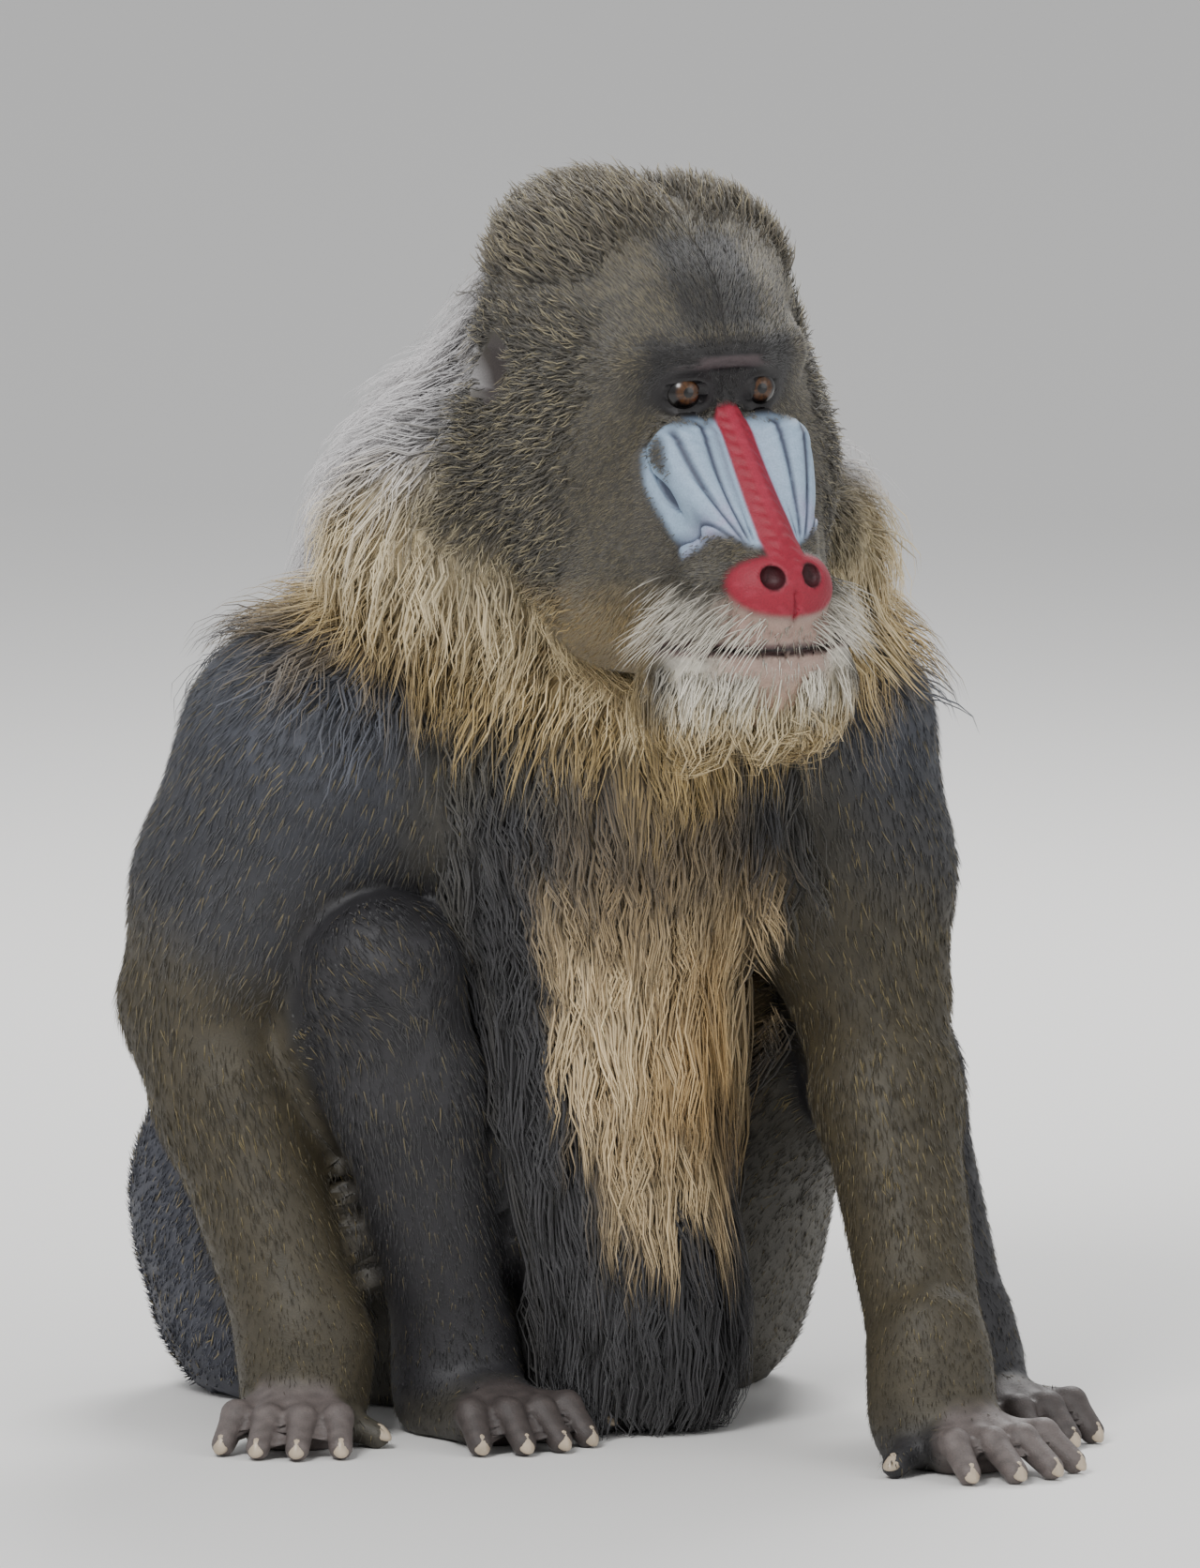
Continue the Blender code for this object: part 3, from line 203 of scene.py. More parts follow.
HANDS = {
    "right": Digits(WRIST["right"], math.radians(-100), 0.045, 0.026,
                    (0.040, 0.047, 0.048, 0.042), (-13, -4, 4, 14), 0.0098,
                    0.034, 62, 1, 0.019),
    "left": Digits(WRIST["left"], math.radians(-52), 0.048, 0.027,
                   (0.044, 0.052, 0.052, 0.046), (-15, -5, 5, 16), 0.0100,
                   0.040, -62, -1, 0.019),
}
FEET = {
    "right": Digits(ANKLE["right"], math.radians(-62), 0.066, 0.028,
                    (0.040, 0.046, 0.045, 0.038), (-12, -4, 4, 13), 0.0102,
                    0.058, 52, 1, 0.020),
    "left": Digits(ANKLE["left"], math.radians(-58), 0.062, 0.028,
                   (0.038, 0.044, 0.043, 0.036), (-12, -4, 4, 13), 0.0102,
                   0.050, -52, -1, 0.020),
}


def heading(angle: float) -> np.ndarray:
    """The level direction at an angle from +X."""
    return np.array((math.cos(angle), math.sin(angle), 0.0))


def digit_joints(limb: Digits, index: int) -> tuple:
    """Knuckle, middle joint and tip of one finger or toe, resting on the floor."""
    ahead = heading(limb.heading)
    across = heading(limb.heading + math.pi / 2)
    ground = np.array((*limb.root[:2], 0.0))
    share = (index - 1.5) / 1.5
    knuckle = ground + ahead * limb.palm + across * share * limb.palm_width
    knuckle = knuckle - ahead * 0.006 * abs(share) + UP * limb.height
    way = heading(limb.heading + math.radians(limb.spread[index]))
    length = limb.lengths[index]
    middle = knuckle + way * length * 0.52 + UP * 0.003
    tip = knuckle + way * length
    tip[2] = limb.radius * 0.72
    return knuckle, middle, tip


def thumb_joints(limb: Digits) -> tuple:
    """The thumb or big toe, set low on its side of the palm."""
    ground = np.array((*limb.root[:2], 0.0))
    across = heading(limb.heading + math.pi / 2)
    way = heading(limb.heading + math.radians(limb.thumb_turn))
    knuckle = ground + heading(limb.heading) * limb.palm * 0.35
    knuckle = knuckle + across * limb.thumb_side * limb.palm_width * 0.75 + UP * 0.016
    tip = knuckle + way * limb.thumb_length
    tip[2] = limb.radius * 0.75
    return knuckle, tip


def limb_end_forms(limb: Digits) -> list[Form]:
    """Palm, fingers and thumb, a little below the floor so that the cut is flat."""
    ground = np.array((*limb.root[:2], 0.0))
    ahead = heading(limb.heading)
    low = UP * 0.015
    forms = [
        Form(limb.root + UP * 0.02, limb.root - UP * 0.018, 0.036, 0.031, 0.0),
        Form(ground + low, ground + ahead * limb.palm * 0.8 + low, 0.026, 0.020,
             0.02, ((heading(limb.heading + math.pi / 2), 1.35),)),
        Form(limb.root - UP * 0.02, ground + ahead * limb.palm * 0.8 + low, 0.027,
             0.020, 0.02, ((heading(limb.heading + math.pi / 2), 1.2),)),
    ]
    for index in range(4):
        knuckle, middle, tip = digit_joints(limb, index)
        forms.append(Form(knuckle, middle, limb.radius * 1.12, limb.radius, 0.008))
        forms.append(Form(middle, tip, limb.radius, limb.radius * 0.85, 0.004))
    knuckle, tip = thumb_joints(limb)
    forms.append(Form(knuckle, tip, limb.radius * 1.15, limb.radius * 0.9, 0.01))
    return forms


# The head, from the neck cut to the nose
NOSE_PAD = skull(0.0, 0.070, -0.107)
HEAD_FORMS = [
    ball(skull(0.0, -0.112, 0.015), 0.094, 0.0, ((HEAD_FORWARD, 1.20),)),
    ball(skull(0.0, -0.150, -0.06), 0.098, 0.05),
    ball(skull(-0.034, -0.120, 0.068), 0.046, 0.03, ((HEAD_FORWARD, 1.3),)),
    ball(skull(0.034, -0.105, 0.062), 0.044, 0.03, ((HEAD_FORWARD, 1.3),)),
    ball(skull(-0.058, -0.085, -0.060), 0.056, 0.05, ((UP, 1.15),)),
    ball(skull(0.058, -0.085, -0.060), 0.056, 0.05, ((UP, 1.15),)),
    ball(skull(-0.045, -0.055, -0.125), 0.046, 0.04),
    ball(skull(0.045, -0.055, -0.125), 0.046, 0.04),
    Form(skull(-0.052, -0.024, 0.020), skull(-0.018, -0.006, 0.023), 0.0105, 0.0115, 0.02),
    Form(skull(0.052, -0.024, 0.020), skull(0.018, -0.006, 0.023), 0.0105, 0.0115, 0.02),
    Form(skull(-0.018, -0.006, 0.023), skull(0.018, -0.006, 0.023), 0.0115, 0.0115, 0.01),
    Form(skull(0, -0.05, -0.06), muzzle(0, 0.100, -0.040), 0.050, 0.036, 0.03,
         ((HEAD_LEFT, 1.05),)),
    Form(muzzle(-0.029, 0.032, -0.016), muzzle(-0.021, 0.098, -0.014), 0.022, 0.012,
         0.014, ((MUZZLE_UP, 0.85),)),
    Form(muzzle(0.029, 0.032, -0.016), muzzle(0.021, 0.098, -0.014), 0.022, 0.012,
         0.014, ((MUZZLE_UP, 0.85),)),
    Form(muzzle(0, 0.000, -0.012), muzzle(0, 0.108, -0.005), 0.0090, 0.0105, 0.008),
    ball(NOSE_PAD, 0.019, 0.012, ((HEAD_LEFT, 1.50),)),
    Form(skull(-0.026, 0.040, -0.122), skull(0, 0.058, -0.122), 0.024, 0.026, 0.02),
    Form(skull(0.026, 0.040, -0.122), skull(0, 0.058, -0.122), 0.024, 0.026, 0.02),
    Form(skull(-0.043, 0.036, -0.139), skull(-0.022, 0.070, -0.137), 0.008, 0.009, 0.008),
    Form(skull(0.043, 0.036, -0.139), skull(0.022, 0.070, -0.137), 0.008, 0.009, 0.008),
    Form(skull(-0.022, 0.070, -0.137), skull(0.022, 0.070, -0.137), 0.009, 0.009, 0.008),
    Form(skull(-0.041, 0.032, -0.152), skull(-0.020, 0.063, -0.153), 0.008, 0.009, 0.010),
    Form(skull(0.041, 0.032, -0.152), skull(0.020, 0.063, -0.153), 0.008, 0.009, 0.010),
    Form(skull(-0.020, 0.063, -0.153), skull(0.020, 0.063, -0.153), 0.009, 0.009, 0.010),
    Form(skull(0.0, 0.040, -0.158), skull(0, -0.05, -0.13), 0.024, 0.050, 0.03,
         ((HEAD_LEFT, 1.15),)),
]
BEARD_FORMS = [
    ball(skull(-0.040, 0.025, -0.168), 0.030, 0.02, ((UP, 1.15),)),
    ball(skull(0.040, 0.025, -0.168), 0.030, 0.02, ((UP, 1.15),)),
    ball(skull(0.0, 0.042, -0.172), 0.022, 0.02, ((UP, 1.2),)),
]
EYE_HOLLOW_RADIUS = 0.0135
RIDGE_COUNT = 5
RIDGE_HEIGHT = 0.0030
RIDGE_FAN = math.radians(62)
RIDGE_POLE = (0.013, 0.112)


def distance_to(form: Form, points: np.ndarray) -> np.ndarray:
    """Distance from points to a form's surface, less than zero inside it."""
    middle = (form.start + form.end) / 2
    offset = points - middle
    for way, ratio in form.stretch:
        offset = offset + np.outer(offset @ way, way) * (1 / ratio - 1)
    axis = (form.end - form.start) / 2
    reach = float(axis @ axis)
    share = np.zeros(len(points)) if reach < 1e-12 else np.clip(offset @ axis / reach, -1, 1)
    radius = form.start_radius + (form.end_radius - form.start_radius) * (share + 1) / 2
    return np.linalg.norm(offset - np.outer(share, axis), axis=1) - radius


def blend(first: np.ndarray, second: np.ndarray, soft: float) -> np.ndarray:
    """The smaller of two distances, rounded off where they are close."""
    if soft <= 0:
        return np.minimum(first, second)
    near = np.clip(0.5 + 0.5 * (second - first) / soft, 0, 1)
    return second * (1 - near) + first * near - soft * near * (1 - near)


def field(forms: list[Form], points: np.ndarray) -> np.ndarray:
    """Distance from points to the blended surface of many forms."""
    total = distance_to(forms[0], points)
    for form in forms[1:]:
        total = blend(total, distance_to(form, points), form.soft)
    return total


def ridge_relief(points: np.ndarray) -> np.ndarray:
    """Raised ridges that fan out over each side of the muzzle from the nose."""
    offset = points - EYES_MIDDLE
    side = np.abs(offset @ HEAD_LEFT)
    along = offset @ MUZZLE_AXIS
    out = offset @ MUZZLE_UP
    across, back = side - RIDGE_POLE[0], RIDGE_POLE[1] - along
    turn = np.arctan2(across, np.maximum(back, 1e-4))
    reach = np.hypot(across, back)
    wave = np.abs(np.sin(turn / RIDGE_FAN * math.pi * RIDGE_COUNT)) ** 0.6
    inside = np.clip(turn / 0.05, 0, 1) * np.clip((RIDGE_FAN - turn) / 0.1, 0, 1)
    inside = inside * np.clip((reach - 0.008) / 0.02, 0, 1)
    inside = inside * np.clip((0.105 - reach) / 0.015, 0, 1) * np.clip((out + 0.045) / 0.01, 0, 1)
    inside = inside * np.clip((back - 0.004) / 0.01, 0, 1)
    inside = inside * np.clip((0.062 - side) / 0.010, 0, 1)
    return inside * (wave - 0.35) * RIDGE_HEIGHT


def head_field(points: np.ndarray) -> np.ndarray:
    """The head's surface with its eye hollows and muzzle ridges."""
    total = field(HEAD_FORMS + BEARD_FORMS, points) - ridge_relief(points)
    for _, sign in SIDES:
        hollow = ball(skull(sign * 0.0255, 0.0135, -0.001), EYE_HOLLOW_RADIUS, 0,
                      ((HEAD_LEFT, 1.25),))
        total = -blend(-total, distance_to(hollow, points), 0.006)
    return total


def unit(vector: np.ndarray) -> np.ndarray:
    """A vector of length one."""
    return np.asarray(vector, dtype=float) / max(float(np.linalg.norm(vector)), 1e-9)


# The skin
SKIN_VOXEL = 0.0046
FURRED_RATIO = 0.29
MOUTH_DEPTH = 0.0042
WHOLE_TRUNK = TRUNK_FORMS + MANE_FORMS + [TAIL_FORM] + arm_forms("right") + arm_forms("left")
UP_ROW = UP[None]


class Slot(Enum):
    """The record's material slot that a piece of the coat stands for."""

    HEAD = "face_and_head"
    MANE = "mane"
    BEARD = "beard"
    CHEST = "chest_coat"
    BELLY = "belly_coat"
    ARM = "arm_coat"
    DARK = "dark_coat"


def ramp(values: np.ndarray, low: float, high: float) -> np.ndarray:
    """A smooth step from 0 at low to 1 at high."""
    share = np.clip((values - low) / (high - low), 0, 1)
    return share * share * (3 - 2 * share)


def rows_unit(rows: np.ndarray) -> np.ndarray:
    """Rows of length one."""
    return rows / np.maximum(np.linalg.norm(rows, axis=1), 1e-9)[:, None]


def head_frame(points: np.ndarray) -> tuple:
    """Side, forward and up from the eyes, then along and out over the muzzle."""
    offset = points - EYES_MIDDLE
    return (offset @ HEAD_LEFT, offset @ HEAD_FORWARD, offset[:, 2], offset @ MUZZLE_AXIS,
            offset @ MUZZLE_UP)


def lid_forms(sign: int) -> list[Form]:
    """Upper and lower eyelid as short round forms from corner to corner."""
    eye = skull(sign * EYE_SPACING / 2, -EYE_DEPTH, 0.0)
    forms = []
    for lift, thick in ((15, 0.0036), (-18, 0.0030)):
        places = []
        for step in range(7):
            share = step / 6 * 2 - 1
            turn = math.radians(66) * share
            rise = math.radians(lift) * (1 - share * share)
            way = HEAD_LEFT * math.sin(turn) * math.cos(rise)
            way = way + HEAD_FORWARD * math.cos(turn) * math.cos(rise) + UP * math.sin(rise)
            places.append(eye + way * (EYE_RADIUS + 0.0004))
        for first, second in zip(places, places[1:]):
            forms.append(Form(first, second, thick, thick, 0.0016))
    return forms


LID_FORMS = lid_forms(-1) + lid_forms(1)
NOSTRILS = [ball(skull(sign * 0.0130, 0.088, -0.101), 0.0070, 0, ((HEAD_FORWARD, 1.8),))
            for sign in (-1, 1)]


GROOVE_COUNT = 6
GROOVE_SPREAD = math.radians(66)


def ear_forms(sign: int) -> tuple:
    """The ear's outer shape and the bowl that hollows it."""
    place = skull(sign * 0.093, -0.112, 0.004)
    outer = ball(place, 0.0185, 0, ((HEAD_LEFT, 0.72), (UP, 1.30)))
    bowl = ball(place + HEAD_LEFT * sign * 0.0065, 0.0155, 0, ((HEAD_LEFT, 0.80), (UP, 1.30)))
    return outer, bowl


def ear_mask(points: np.ndarray) -> np.ndarray:
    """1 on the ears, 0 away from them."""
    share = np.zeros(len(points))
    for _, sign in SIDES:
        outer, _ = ear_forms(sign)
        share = np.maximum(share, ramp(0.002 - distance_to(outer, points), 0.0, 0.0015))
    return share


def groove_lines(points: np.ndarray) -> np.ndarray:
    """1 in the middle of the long furrows between the muzzle's ridges, 0 on the ridges."""
    side, forward, up, along, out = head_frame(points)
    across, back = np.abs(side) - RIDGE_POLE[0], RIDGE_POLE[1] + 0.006 - along
    turn = np.arctan2(across, np.maximum(back, 1e-4))
    reach = np.hypot(across, back)
    phase = (turn / GROOVE_SPREAD * GROOVE_COUNT + reach * 9.0) % 1.0
    gap = np.abs(phase - 0.5) / GROOVE_COUNT * GROOVE_SPREAD * np.maximum(reach, 0.012)
    thick = 0.0012 + 0.0011 * ramp(reach, 0.03, 0.09)
    inside = ramp(reach, 0.010, 0.022) * ramp(turn, 0.03, 0.10) * ramp(-reach, -0.106, -0.094)
    return np.exp(-(gap / thick) ** 2) * inside


def face_detail(points: np.ndarray) -> np.ndarray:
    """Folds, whisker rows and creases added to the face, in metres outwards."""
    side, forward, up, along, out = head_frame(points)
    wide = np.abs(side)
    brow = ramp(up, 0.010, 0.020) * ramp(-up, -0.040, -0.028) * ramp(forward, -0.035, -0.010)
    folds = np.sin(up * 1400 + wide * 160) * 0.00045 * brow
    under_eye = ramp(-up, 0.010, 0.016) * ramp(up, -0.034, -0.026) * ramp(wide, 0.012, 0.018)
    under_eye = under_eye * ramp(forward, -0.030, -0.010) * ramp(-wide, -0.046, -0.040)
    folds = folds + np.sin(up * 1100 - wide * 350) * 0.0004 * under_eye
    bridge = ramp(-wide, -0.010, -0.006) * ramp(along, 0.0, 0.02)
    folds = folds + np.sin(along * 700 + np.sin(side * 500) * 1.5) * 0.00025 * bridge
    pores = np.sin(side * 1700) * np.sin(along * 1900 + side * 600)
    lip = ramp(-up, 0.112, 0.120) * ramp(forward, 0.0, 0.03)
    folds = folds + pores * 0.0003 * lip
    groove = ramp(-wide, -0.0022, -0.0005) * ramp(-up, 0.108, 0.112) * ramp(up, -0.140, -0.134)
    return folds - groove * 0.0022 * ramp(forward, 0.04, 0.06)


def blue_zone(points: np.ndarray) -> np.ndarray:
    """1 on the blue sides of the muzzle."""
    side, forward, up, along, out = head_frame(points)
    wide = np.abs(side)
    reach = np.hypot(wide - RIDGE_POLE[0], RIDGE_POLE[1] - along)
    limit = 0.0485 - 0.004 * ramp(along, 0.040, 0.098)
    zone = ramp(0.101 - reach, -0.003, 0.003) * ramp(out, -0.052, -0.040) * ramp(-up, 0.012, 0.020)
    zone = zone * ramp(RIDGE_POLE[1] - along - (wide - RIDGE_POLE[0]) * 0.75, -0.002, 0.006)
    return zone * ramp(limit - wide, -0.003, 0.002) * ramp(wide, 0.008, 0.011)


def red_zone(points: np.ndarray) -> np.ndarray:
    """1 on the red bridge and nose."""
    side, forward, up, along, out = head_frame(points)
    width = 0.0058 + ramp(along, 0.0, 0.020) * 0.0046 + ramp(along, 0.03, 0.11) * 0.0020
    red = ramp(width - np.abs(side), -0.0010, 0.0012) * ramp(along, 0.003, 0.012)
    red = red * ramp(out, -0.03, -0.02) * ramp(0.140 - along, 0, 0.004)
    pad = points - NOSE_PAD
    drop = np.where(pad[:, 2] > 0, pad[:, 2] / 0.72, pad[:, 2] / 0.90)
    reach = np.sqrt((pad @ HEAD_LEFT / 1.30) ** 2 + (pad @ HEAD_FORWARD / 1.15) ** 2 + drop ** 2)
    return np.maximum(red, ramp(0.0275 - reach, -0.002, 0.002))


def face_field(points: np.ndarray) -> np.ndarray:
    """The head with lids, nostrils, mouth line and folds."""
    total = head_field(points) - face_detail(points) + ridge_relief(points) * 0.6
    total = total + groove_lines(points) * blue_zone(points) * 0.0017
    side, forward, up, _, _ = head_frame(points)
    near = (forward > -0.05) & (np.abs(side) < 0.06) & (np.abs(up) < 0.035)
    if near.any():
        lids = field(LID_FORMS, points[near])
        total[near] = blend(total[near], lids, 0.0022)
    for nostril in NOSTRILS:
        total = -blend(-total, distance_to(nostril, points), 0.002)
    mouth = points[:, 2] - JAW_TOP - np.abs(side) * 0.10 + ramp(forward, 0.02, 0.07) * 0.003
    crease = np.exp(-(mouth / 0.0016) ** 2) * MOUTH_DEPTH * ramp(forward, 0.000, 0.030)
    return total + crease


def coat_depth(points: np.ndarray) -> np.ndarray:
    """How far the skin lies inside the solids: the depth of the coat at each place."""
    depth = np.full(len(points), 0.0052)
    low = ramp(-points[:, 2], -0.060, -0.030)
    depth = depth * (1 - low) + 0.0012 * low
    side, forward, up, along, out = head_frame(points)
    muzzle_part = ramp(forward, -0.045, -0.015) * ramp(points[:, 2], 0.430, 0.450)
    depth = depth * (1 - muzzle_part) + 0.0016 * muzzle_part * (1 - bare_mask(points))
    return depth


def body_distance(points: np.ndarray) -> np.ndarray:
    """Distance to the outside of the whole animal, coat included."""
    total = field(WHOLE_TRUNK, points)
    low = points[:, 2] < 0.37
    if low.any():
        for side, _ in SIDES:
            total[low] = blend(total[low], field(leg_forms(side), points[low]), 0.010)
    ends = points[:, 2] < 0.12
    if ends.any():
        for limb in (*HANDS.values(), *FEET.values()):
            total[ends] = blend(total[ends], field(limb_end_forms(limb), points[ends]), 0.006)
    high = points[:, 2] > 0.42
    if high.any():
        total[high] = blend(total[high], face_field(points[high]), 0.006)
    return total


def skin_distance(points: np.ndarray) -> np.ndarray:
    """Distance to the skin under the coat."""
    total = body_distance(points) + coat_depth(points)
    for _, sign in SIDES:
        outer, bowl = ear_forms(sign)
        near = np.linalg.norm(points - outer.start, axis=1) < 0.05
        if near.any():
            total[near] = blend(total[near], distance_to(outer, points[near]), 0.003)
            total[near] = -blend(-total[near], distance_to(bowl, points[near]), 0.002)
    return total


def quick_slope(points: np.ndarray, value: np.ndarray, step: float = 0.0004) -> np.ndarray:
    """The way out from the skin, by one step along each axis."""
    ways = [skin_distance(points + axis * step) - value for axis in np.eye(3)]
    return np.stack(ways, axis=1) / step


# Markings, and the shade and highlight painted on the face
@dataclass(frozen=True)
class Tone:
    """A colour as it is seen, in parts of 255."""

    red: int
    green: int
    blue: int

    def linear(self) -> np.ndarray:
        """The colour as light."""
        seen = np.array((self.red, self.green, self.blue)) / 255
        return np.where(seen <= 0.04045, seen / 12.92, ((seen + 0.055) / 1.055) ** 2.4)


NAPE = Tone(205, 202, 202).linear()
MANE_CREAM = Tone(214, 196, 156).linear()
MANE_GOLD = Tone(172, 146, 92).linear()
CHEST_BROWN = Tone(104, 88, 62).linear()
HEAD_DARK = Tone(68, 63, 53).linear()
HEAD_FLECK = Tone(158, 146, 112).linear()
CREST_BROWN = Tone(84, 76, 60).linear()
FOREHEAD = Tone(30, 27, 24).linear()
SHOULDER_GREY = Tone(52, 54, 61).linear()
SHOULDER_PALE = Tone(80, 83, 92).linear()
FOREARM = Tone(68, 61, 44).linear()
FOREARM_FLECK = Tone(178, 160, 108).linear()
SHIN = Tone(42, 41, 44).linear()
BACK = Tone(74, 70, 60).linear()
RUMP = Tone(66, 68, 78).linear()
BELLY_GOLD = Tone(176, 146, 98).linear()
BELLY_CREAM = Tone(212, 190, 148).linear()
BELLY_GREY = Tone(48, 47, 49).linear()
MUZZLE_BLUE = Tone(146, 168, 190).linear()
MUZZLE_FURROW_DARK_AND_SHADE = Tone(40, 42, 62).linear()
MUZZLE_LILAC = Tone(150, 128, 160).linear()
NOSE_RED = Tone(132, 8, 36).linear()
NOSE_PINK_AND_HIGHLIGHT = Tone(168, 56, 76).linear()
NOSTRIL_SHADE = Tone(14, 3, 6).linear()
EYE_IRIS = Tone(70, 43, 19).linear()
EYE_RING = Tone(40, 22, 12).linear()
EYE_WHITE = Tone(16, 12, 11).linear()
EAR_SKIN = Tone(52, 45, 43).linear()
LIP = Tone(92, 70, 68).linear()
CHIN = Tone(150, 116, 104).linear()
BEARD_WHITE = Tone(216, 210, 196).linear()
BEARD_YELLOW = Tone(196, 180, 134).linear()
EYE_SURROUND_AND_SHADE = Tone(20, 17, 18).linear()
BROW_SKIN = Tone(78, 64, 66).linear()
DIGIT_SKIN = Tone(100, 91, 88).linear()
DIGIT_DARK = Tone(58, 51, 49).linear()
NAIL = Tone(184, 168, 146).linear()


def laid(under: np.ndarray, tone: np.ndarray, share: np.ndarray) -> np.ndarray:
    """A colour laid over others by a share at each place."""
    return under * (1 - share[:, None]) + tone[None] * share[:, None]


def wander(points: np.ndarray, scale: float) -> np.ndarray:
    """A smooth uneven value from -1 to 1 that varies over the body."""
    x, y, z = (points * scale).T
    first = np.sin(x * 1.3 + 2.1 * np.sin(y * 0.9) + z * 0.7)
    second = np.sin(y * 1.7 + 1.7 * np.sin(z * 1.1 + 1.0) - x * 0.6)
    third = np.sin(z * 2.3 + 1.3 * np.sin(x * 1.4 + 2.0) + y * 0.8)
    return (first + second + third) / 3


def behind_cut(points: np.ndarray) -> np.ndarray:
    """How far places stand in front of the join between head and neck."""
    place = skull(0.0, -0.140, -0.015)
    return (points - place) @ unit(HEAD_FORWARD * 0.917 + UP * 0.40)


def on_head(points: np.ndarray) -> np.ndarray:
    """1 on the head's dark coat, 0 behind and below it."""
    side, forward, up, _, _ = head_frame(points)
    edge = -0.140 + 0.50 * np.maximum(-up, 0) - 0.55 * np.maximum(up, 0)
    share = ramp(forward - edge + wander(points, 60) * 0.006, -0.014, 0.014)
    return share * ramp(up, -0.190, -0.160)


def fur_colour(points: np.ndarray) -> np.ndarray:
    """The coat's colour at each place on the body, with shade painted on the brow."""
    x, y, z = points.T
    offset = points - BODY_AXIS
    left, ahead = offset @ BODY_LEFT, offset @ BODY_FORWARD
    uneven = wander(points, 22)
    colour = np.tile(BACK, (len(points), 1))
    flank = ramp(np.abs(left), 0.10, 0.16)
    colour = laid(colour, SHOULDER_GREY, flank * ramp(z, 0.20, 0.30))
    colour = laid(colour, SHOULDER_PALE, flank * ramp(z + uneven * 0.02, 0.36, 0.46) * 0.7)
    colour = laid(colour, RUMP, ramp(-ahead, 0.05, 0.12) * ramp(-z, -0.24, -0.16))
    forearm = np.zeros(len(points))
    shin = np.zeros(len(points))
    for side, _ in SIDES:
        elbow, wrist = ELBOW[side], WRIST[side]
        arm = Form(elbow, wrist, 0.062, 0.050)
        share = ramp(-distance_to(arm, points), -0.012, 0.004)
        upper = Form(SHOULDER[side], elbow, 0.078, 0.062)
        beside = ramp(-distance_to(upper, points), -0.012, 0.004)
        beside = beside * ramp(0.40 - z + uneven * 0.03, 0.0, 0.10)
        forearm = np.maximum(forearm, np.maximum(share, beside))
        leg = Form(KNEE[side], ANKLE[side], 0.055, 0.046)
        shin = np.maximum(shin, ramp(-distance_to(leg, points), -0.012, 0.002))
    colour = laid(colour, SHIN, shin)
    colour = laid(colour, FOREARM, forearm * (1 - shin * 0.5))
    front = ramp(ahead, 0.005, 0.040)
    inner = ramp(-np.abs(left), -0.125, -0.085)
    belly = front * inner * ramp(-z, -0.44, -0.40) * (1 - forearm) * (1 - shin)
    colour = laid(colour, BELLY_GREY, belly)
    middle = 0.034 + (0.30 - z) * 0.10
    half = 0.038 + (z - 0.13) * 0.14
    ragged = wander(points, 90) * 0.008
    bright = belly * ramp(half - np.abs(x - middle) + ragged, -0.016, 0.008)
    bright = bright * ramp(z + uneven * 0.030, 0.168, 0.245)
    bright = bright * ramp(-z - uneven * 0.03, -0.395, -0.300)
    colour = laid(colour, BELLY_GOLD, bright)
    colour = laid(colour, BELLY_CREAM, bright * ramp(uneven, -0.6, 0.2) * 0.9)
    chest = belly * ramp(z, 0.300, 0.350) * ramp(-np.abs(x - 0.024), -0.075, -0.030)
    colour = laid(colour, CHEST_BROWN, chest * (0.62 + 0.38 * uneven))
    edge = 0.400 + 0.46 * np.abs(left - 0.015) + uneven * 0.012
    edge = np.where(ahead > 0, edge, np.maximum(edge, 0.44 - ahead * 0.25))
    neck = ramp(z - edge + wander(points, 70) * 0.010, -0.026, 0.042)
    colour = laid(colour, MANE_GOLD, neck)
    colour = laid(colour, MANE_CREAM, neck * ramp(z - edge, 0.015, 0.075))
    colour = laid(colour, NAPE, neck * ramp(z - edge - ahead * 0.6, 0.020, 0.085))
    head = on_head(points)
    side, forward, up, along, out = head_frame(points)
    coat = np.tile(HEAD_DARK, (len(points), 1))
    coat = laid(coat, CREST_BROWN, ramp(up + uneven * 0.01, 0.045, 0.085))
    patch = ramp(-np.abs(side), -0.040, -0.018) * ramp(up, 0.026, 0.040) * ramp(-up, -0.098, -0.080)
    coat = laid(coat, FOREHEAD, patch * ramp(forward, -0.10, -0.06))
    # Near-black band over the brow and round the eyes: partly the brow's own dark fur, partly painted
    # shade under the brow ridge.
    brow = ramp(0.054 - np.abs(side), -0.008, 0.014) * ramp(-np.abs(up - 0.011), -0.028, -0.014)
    coat = laid(coat, EYE_SURROUND_AND_SHADE, brow * ramp(forward, -0.062, -0.034) * 0.96)
    throat = ramp(-up, 0.105, 0.140) * ramp(-forward, -0.045, 0.0)
    coat = laid(coat, MANE_GOLD, throat * 0.7)
    white = ramp(-up, 0.108, 0.120) * ramp(forward, 0.010, 0.034)
    white = white * (0.62 + 0.38 * ramp(-up, 0.142, 0.152))
    white = white * ramp(0.062 - np.abs(side), -0.004, 0.012)
    coat = laid(coat, BEARD_WHITE, white)
    coat = laid(coat, BEARD_YELLOW, white * ramp(-up, 0.150, 0.185) * 0.6)
    return colour * (1 - head[:, None]) + coat * head[:, None]


def bare_mask(points: np.ndarray) -> np.ndarray:
    """1 where the skin is bare: muzzle, nose, lips, brow strip and around the eyes."""
    side, forward, up, along, out = head_frame(points)
    wide = np.abs(side)
    eyes = ramp(0.0185 - np.hypot(wide - 0.0245, up * 1.2), -0.004, 0.003)
    brow = ramp(-np.abs(up - 0.018), -0.005, -0.003) * ramp(0.020 - wide, -0.005, 0.004)
    lips = ramp(-np.abs(points[:, 2] - JAW_TOP), -0.006, -0.003) * ramp(forward, 0.02, 0.04)
    front = ramp(forward, -0.045, -0.020)
    zones = blue_zone(points) + red_zone(points)
    return front * np.clip(zones + eyes + brow + lips, 0, 1)


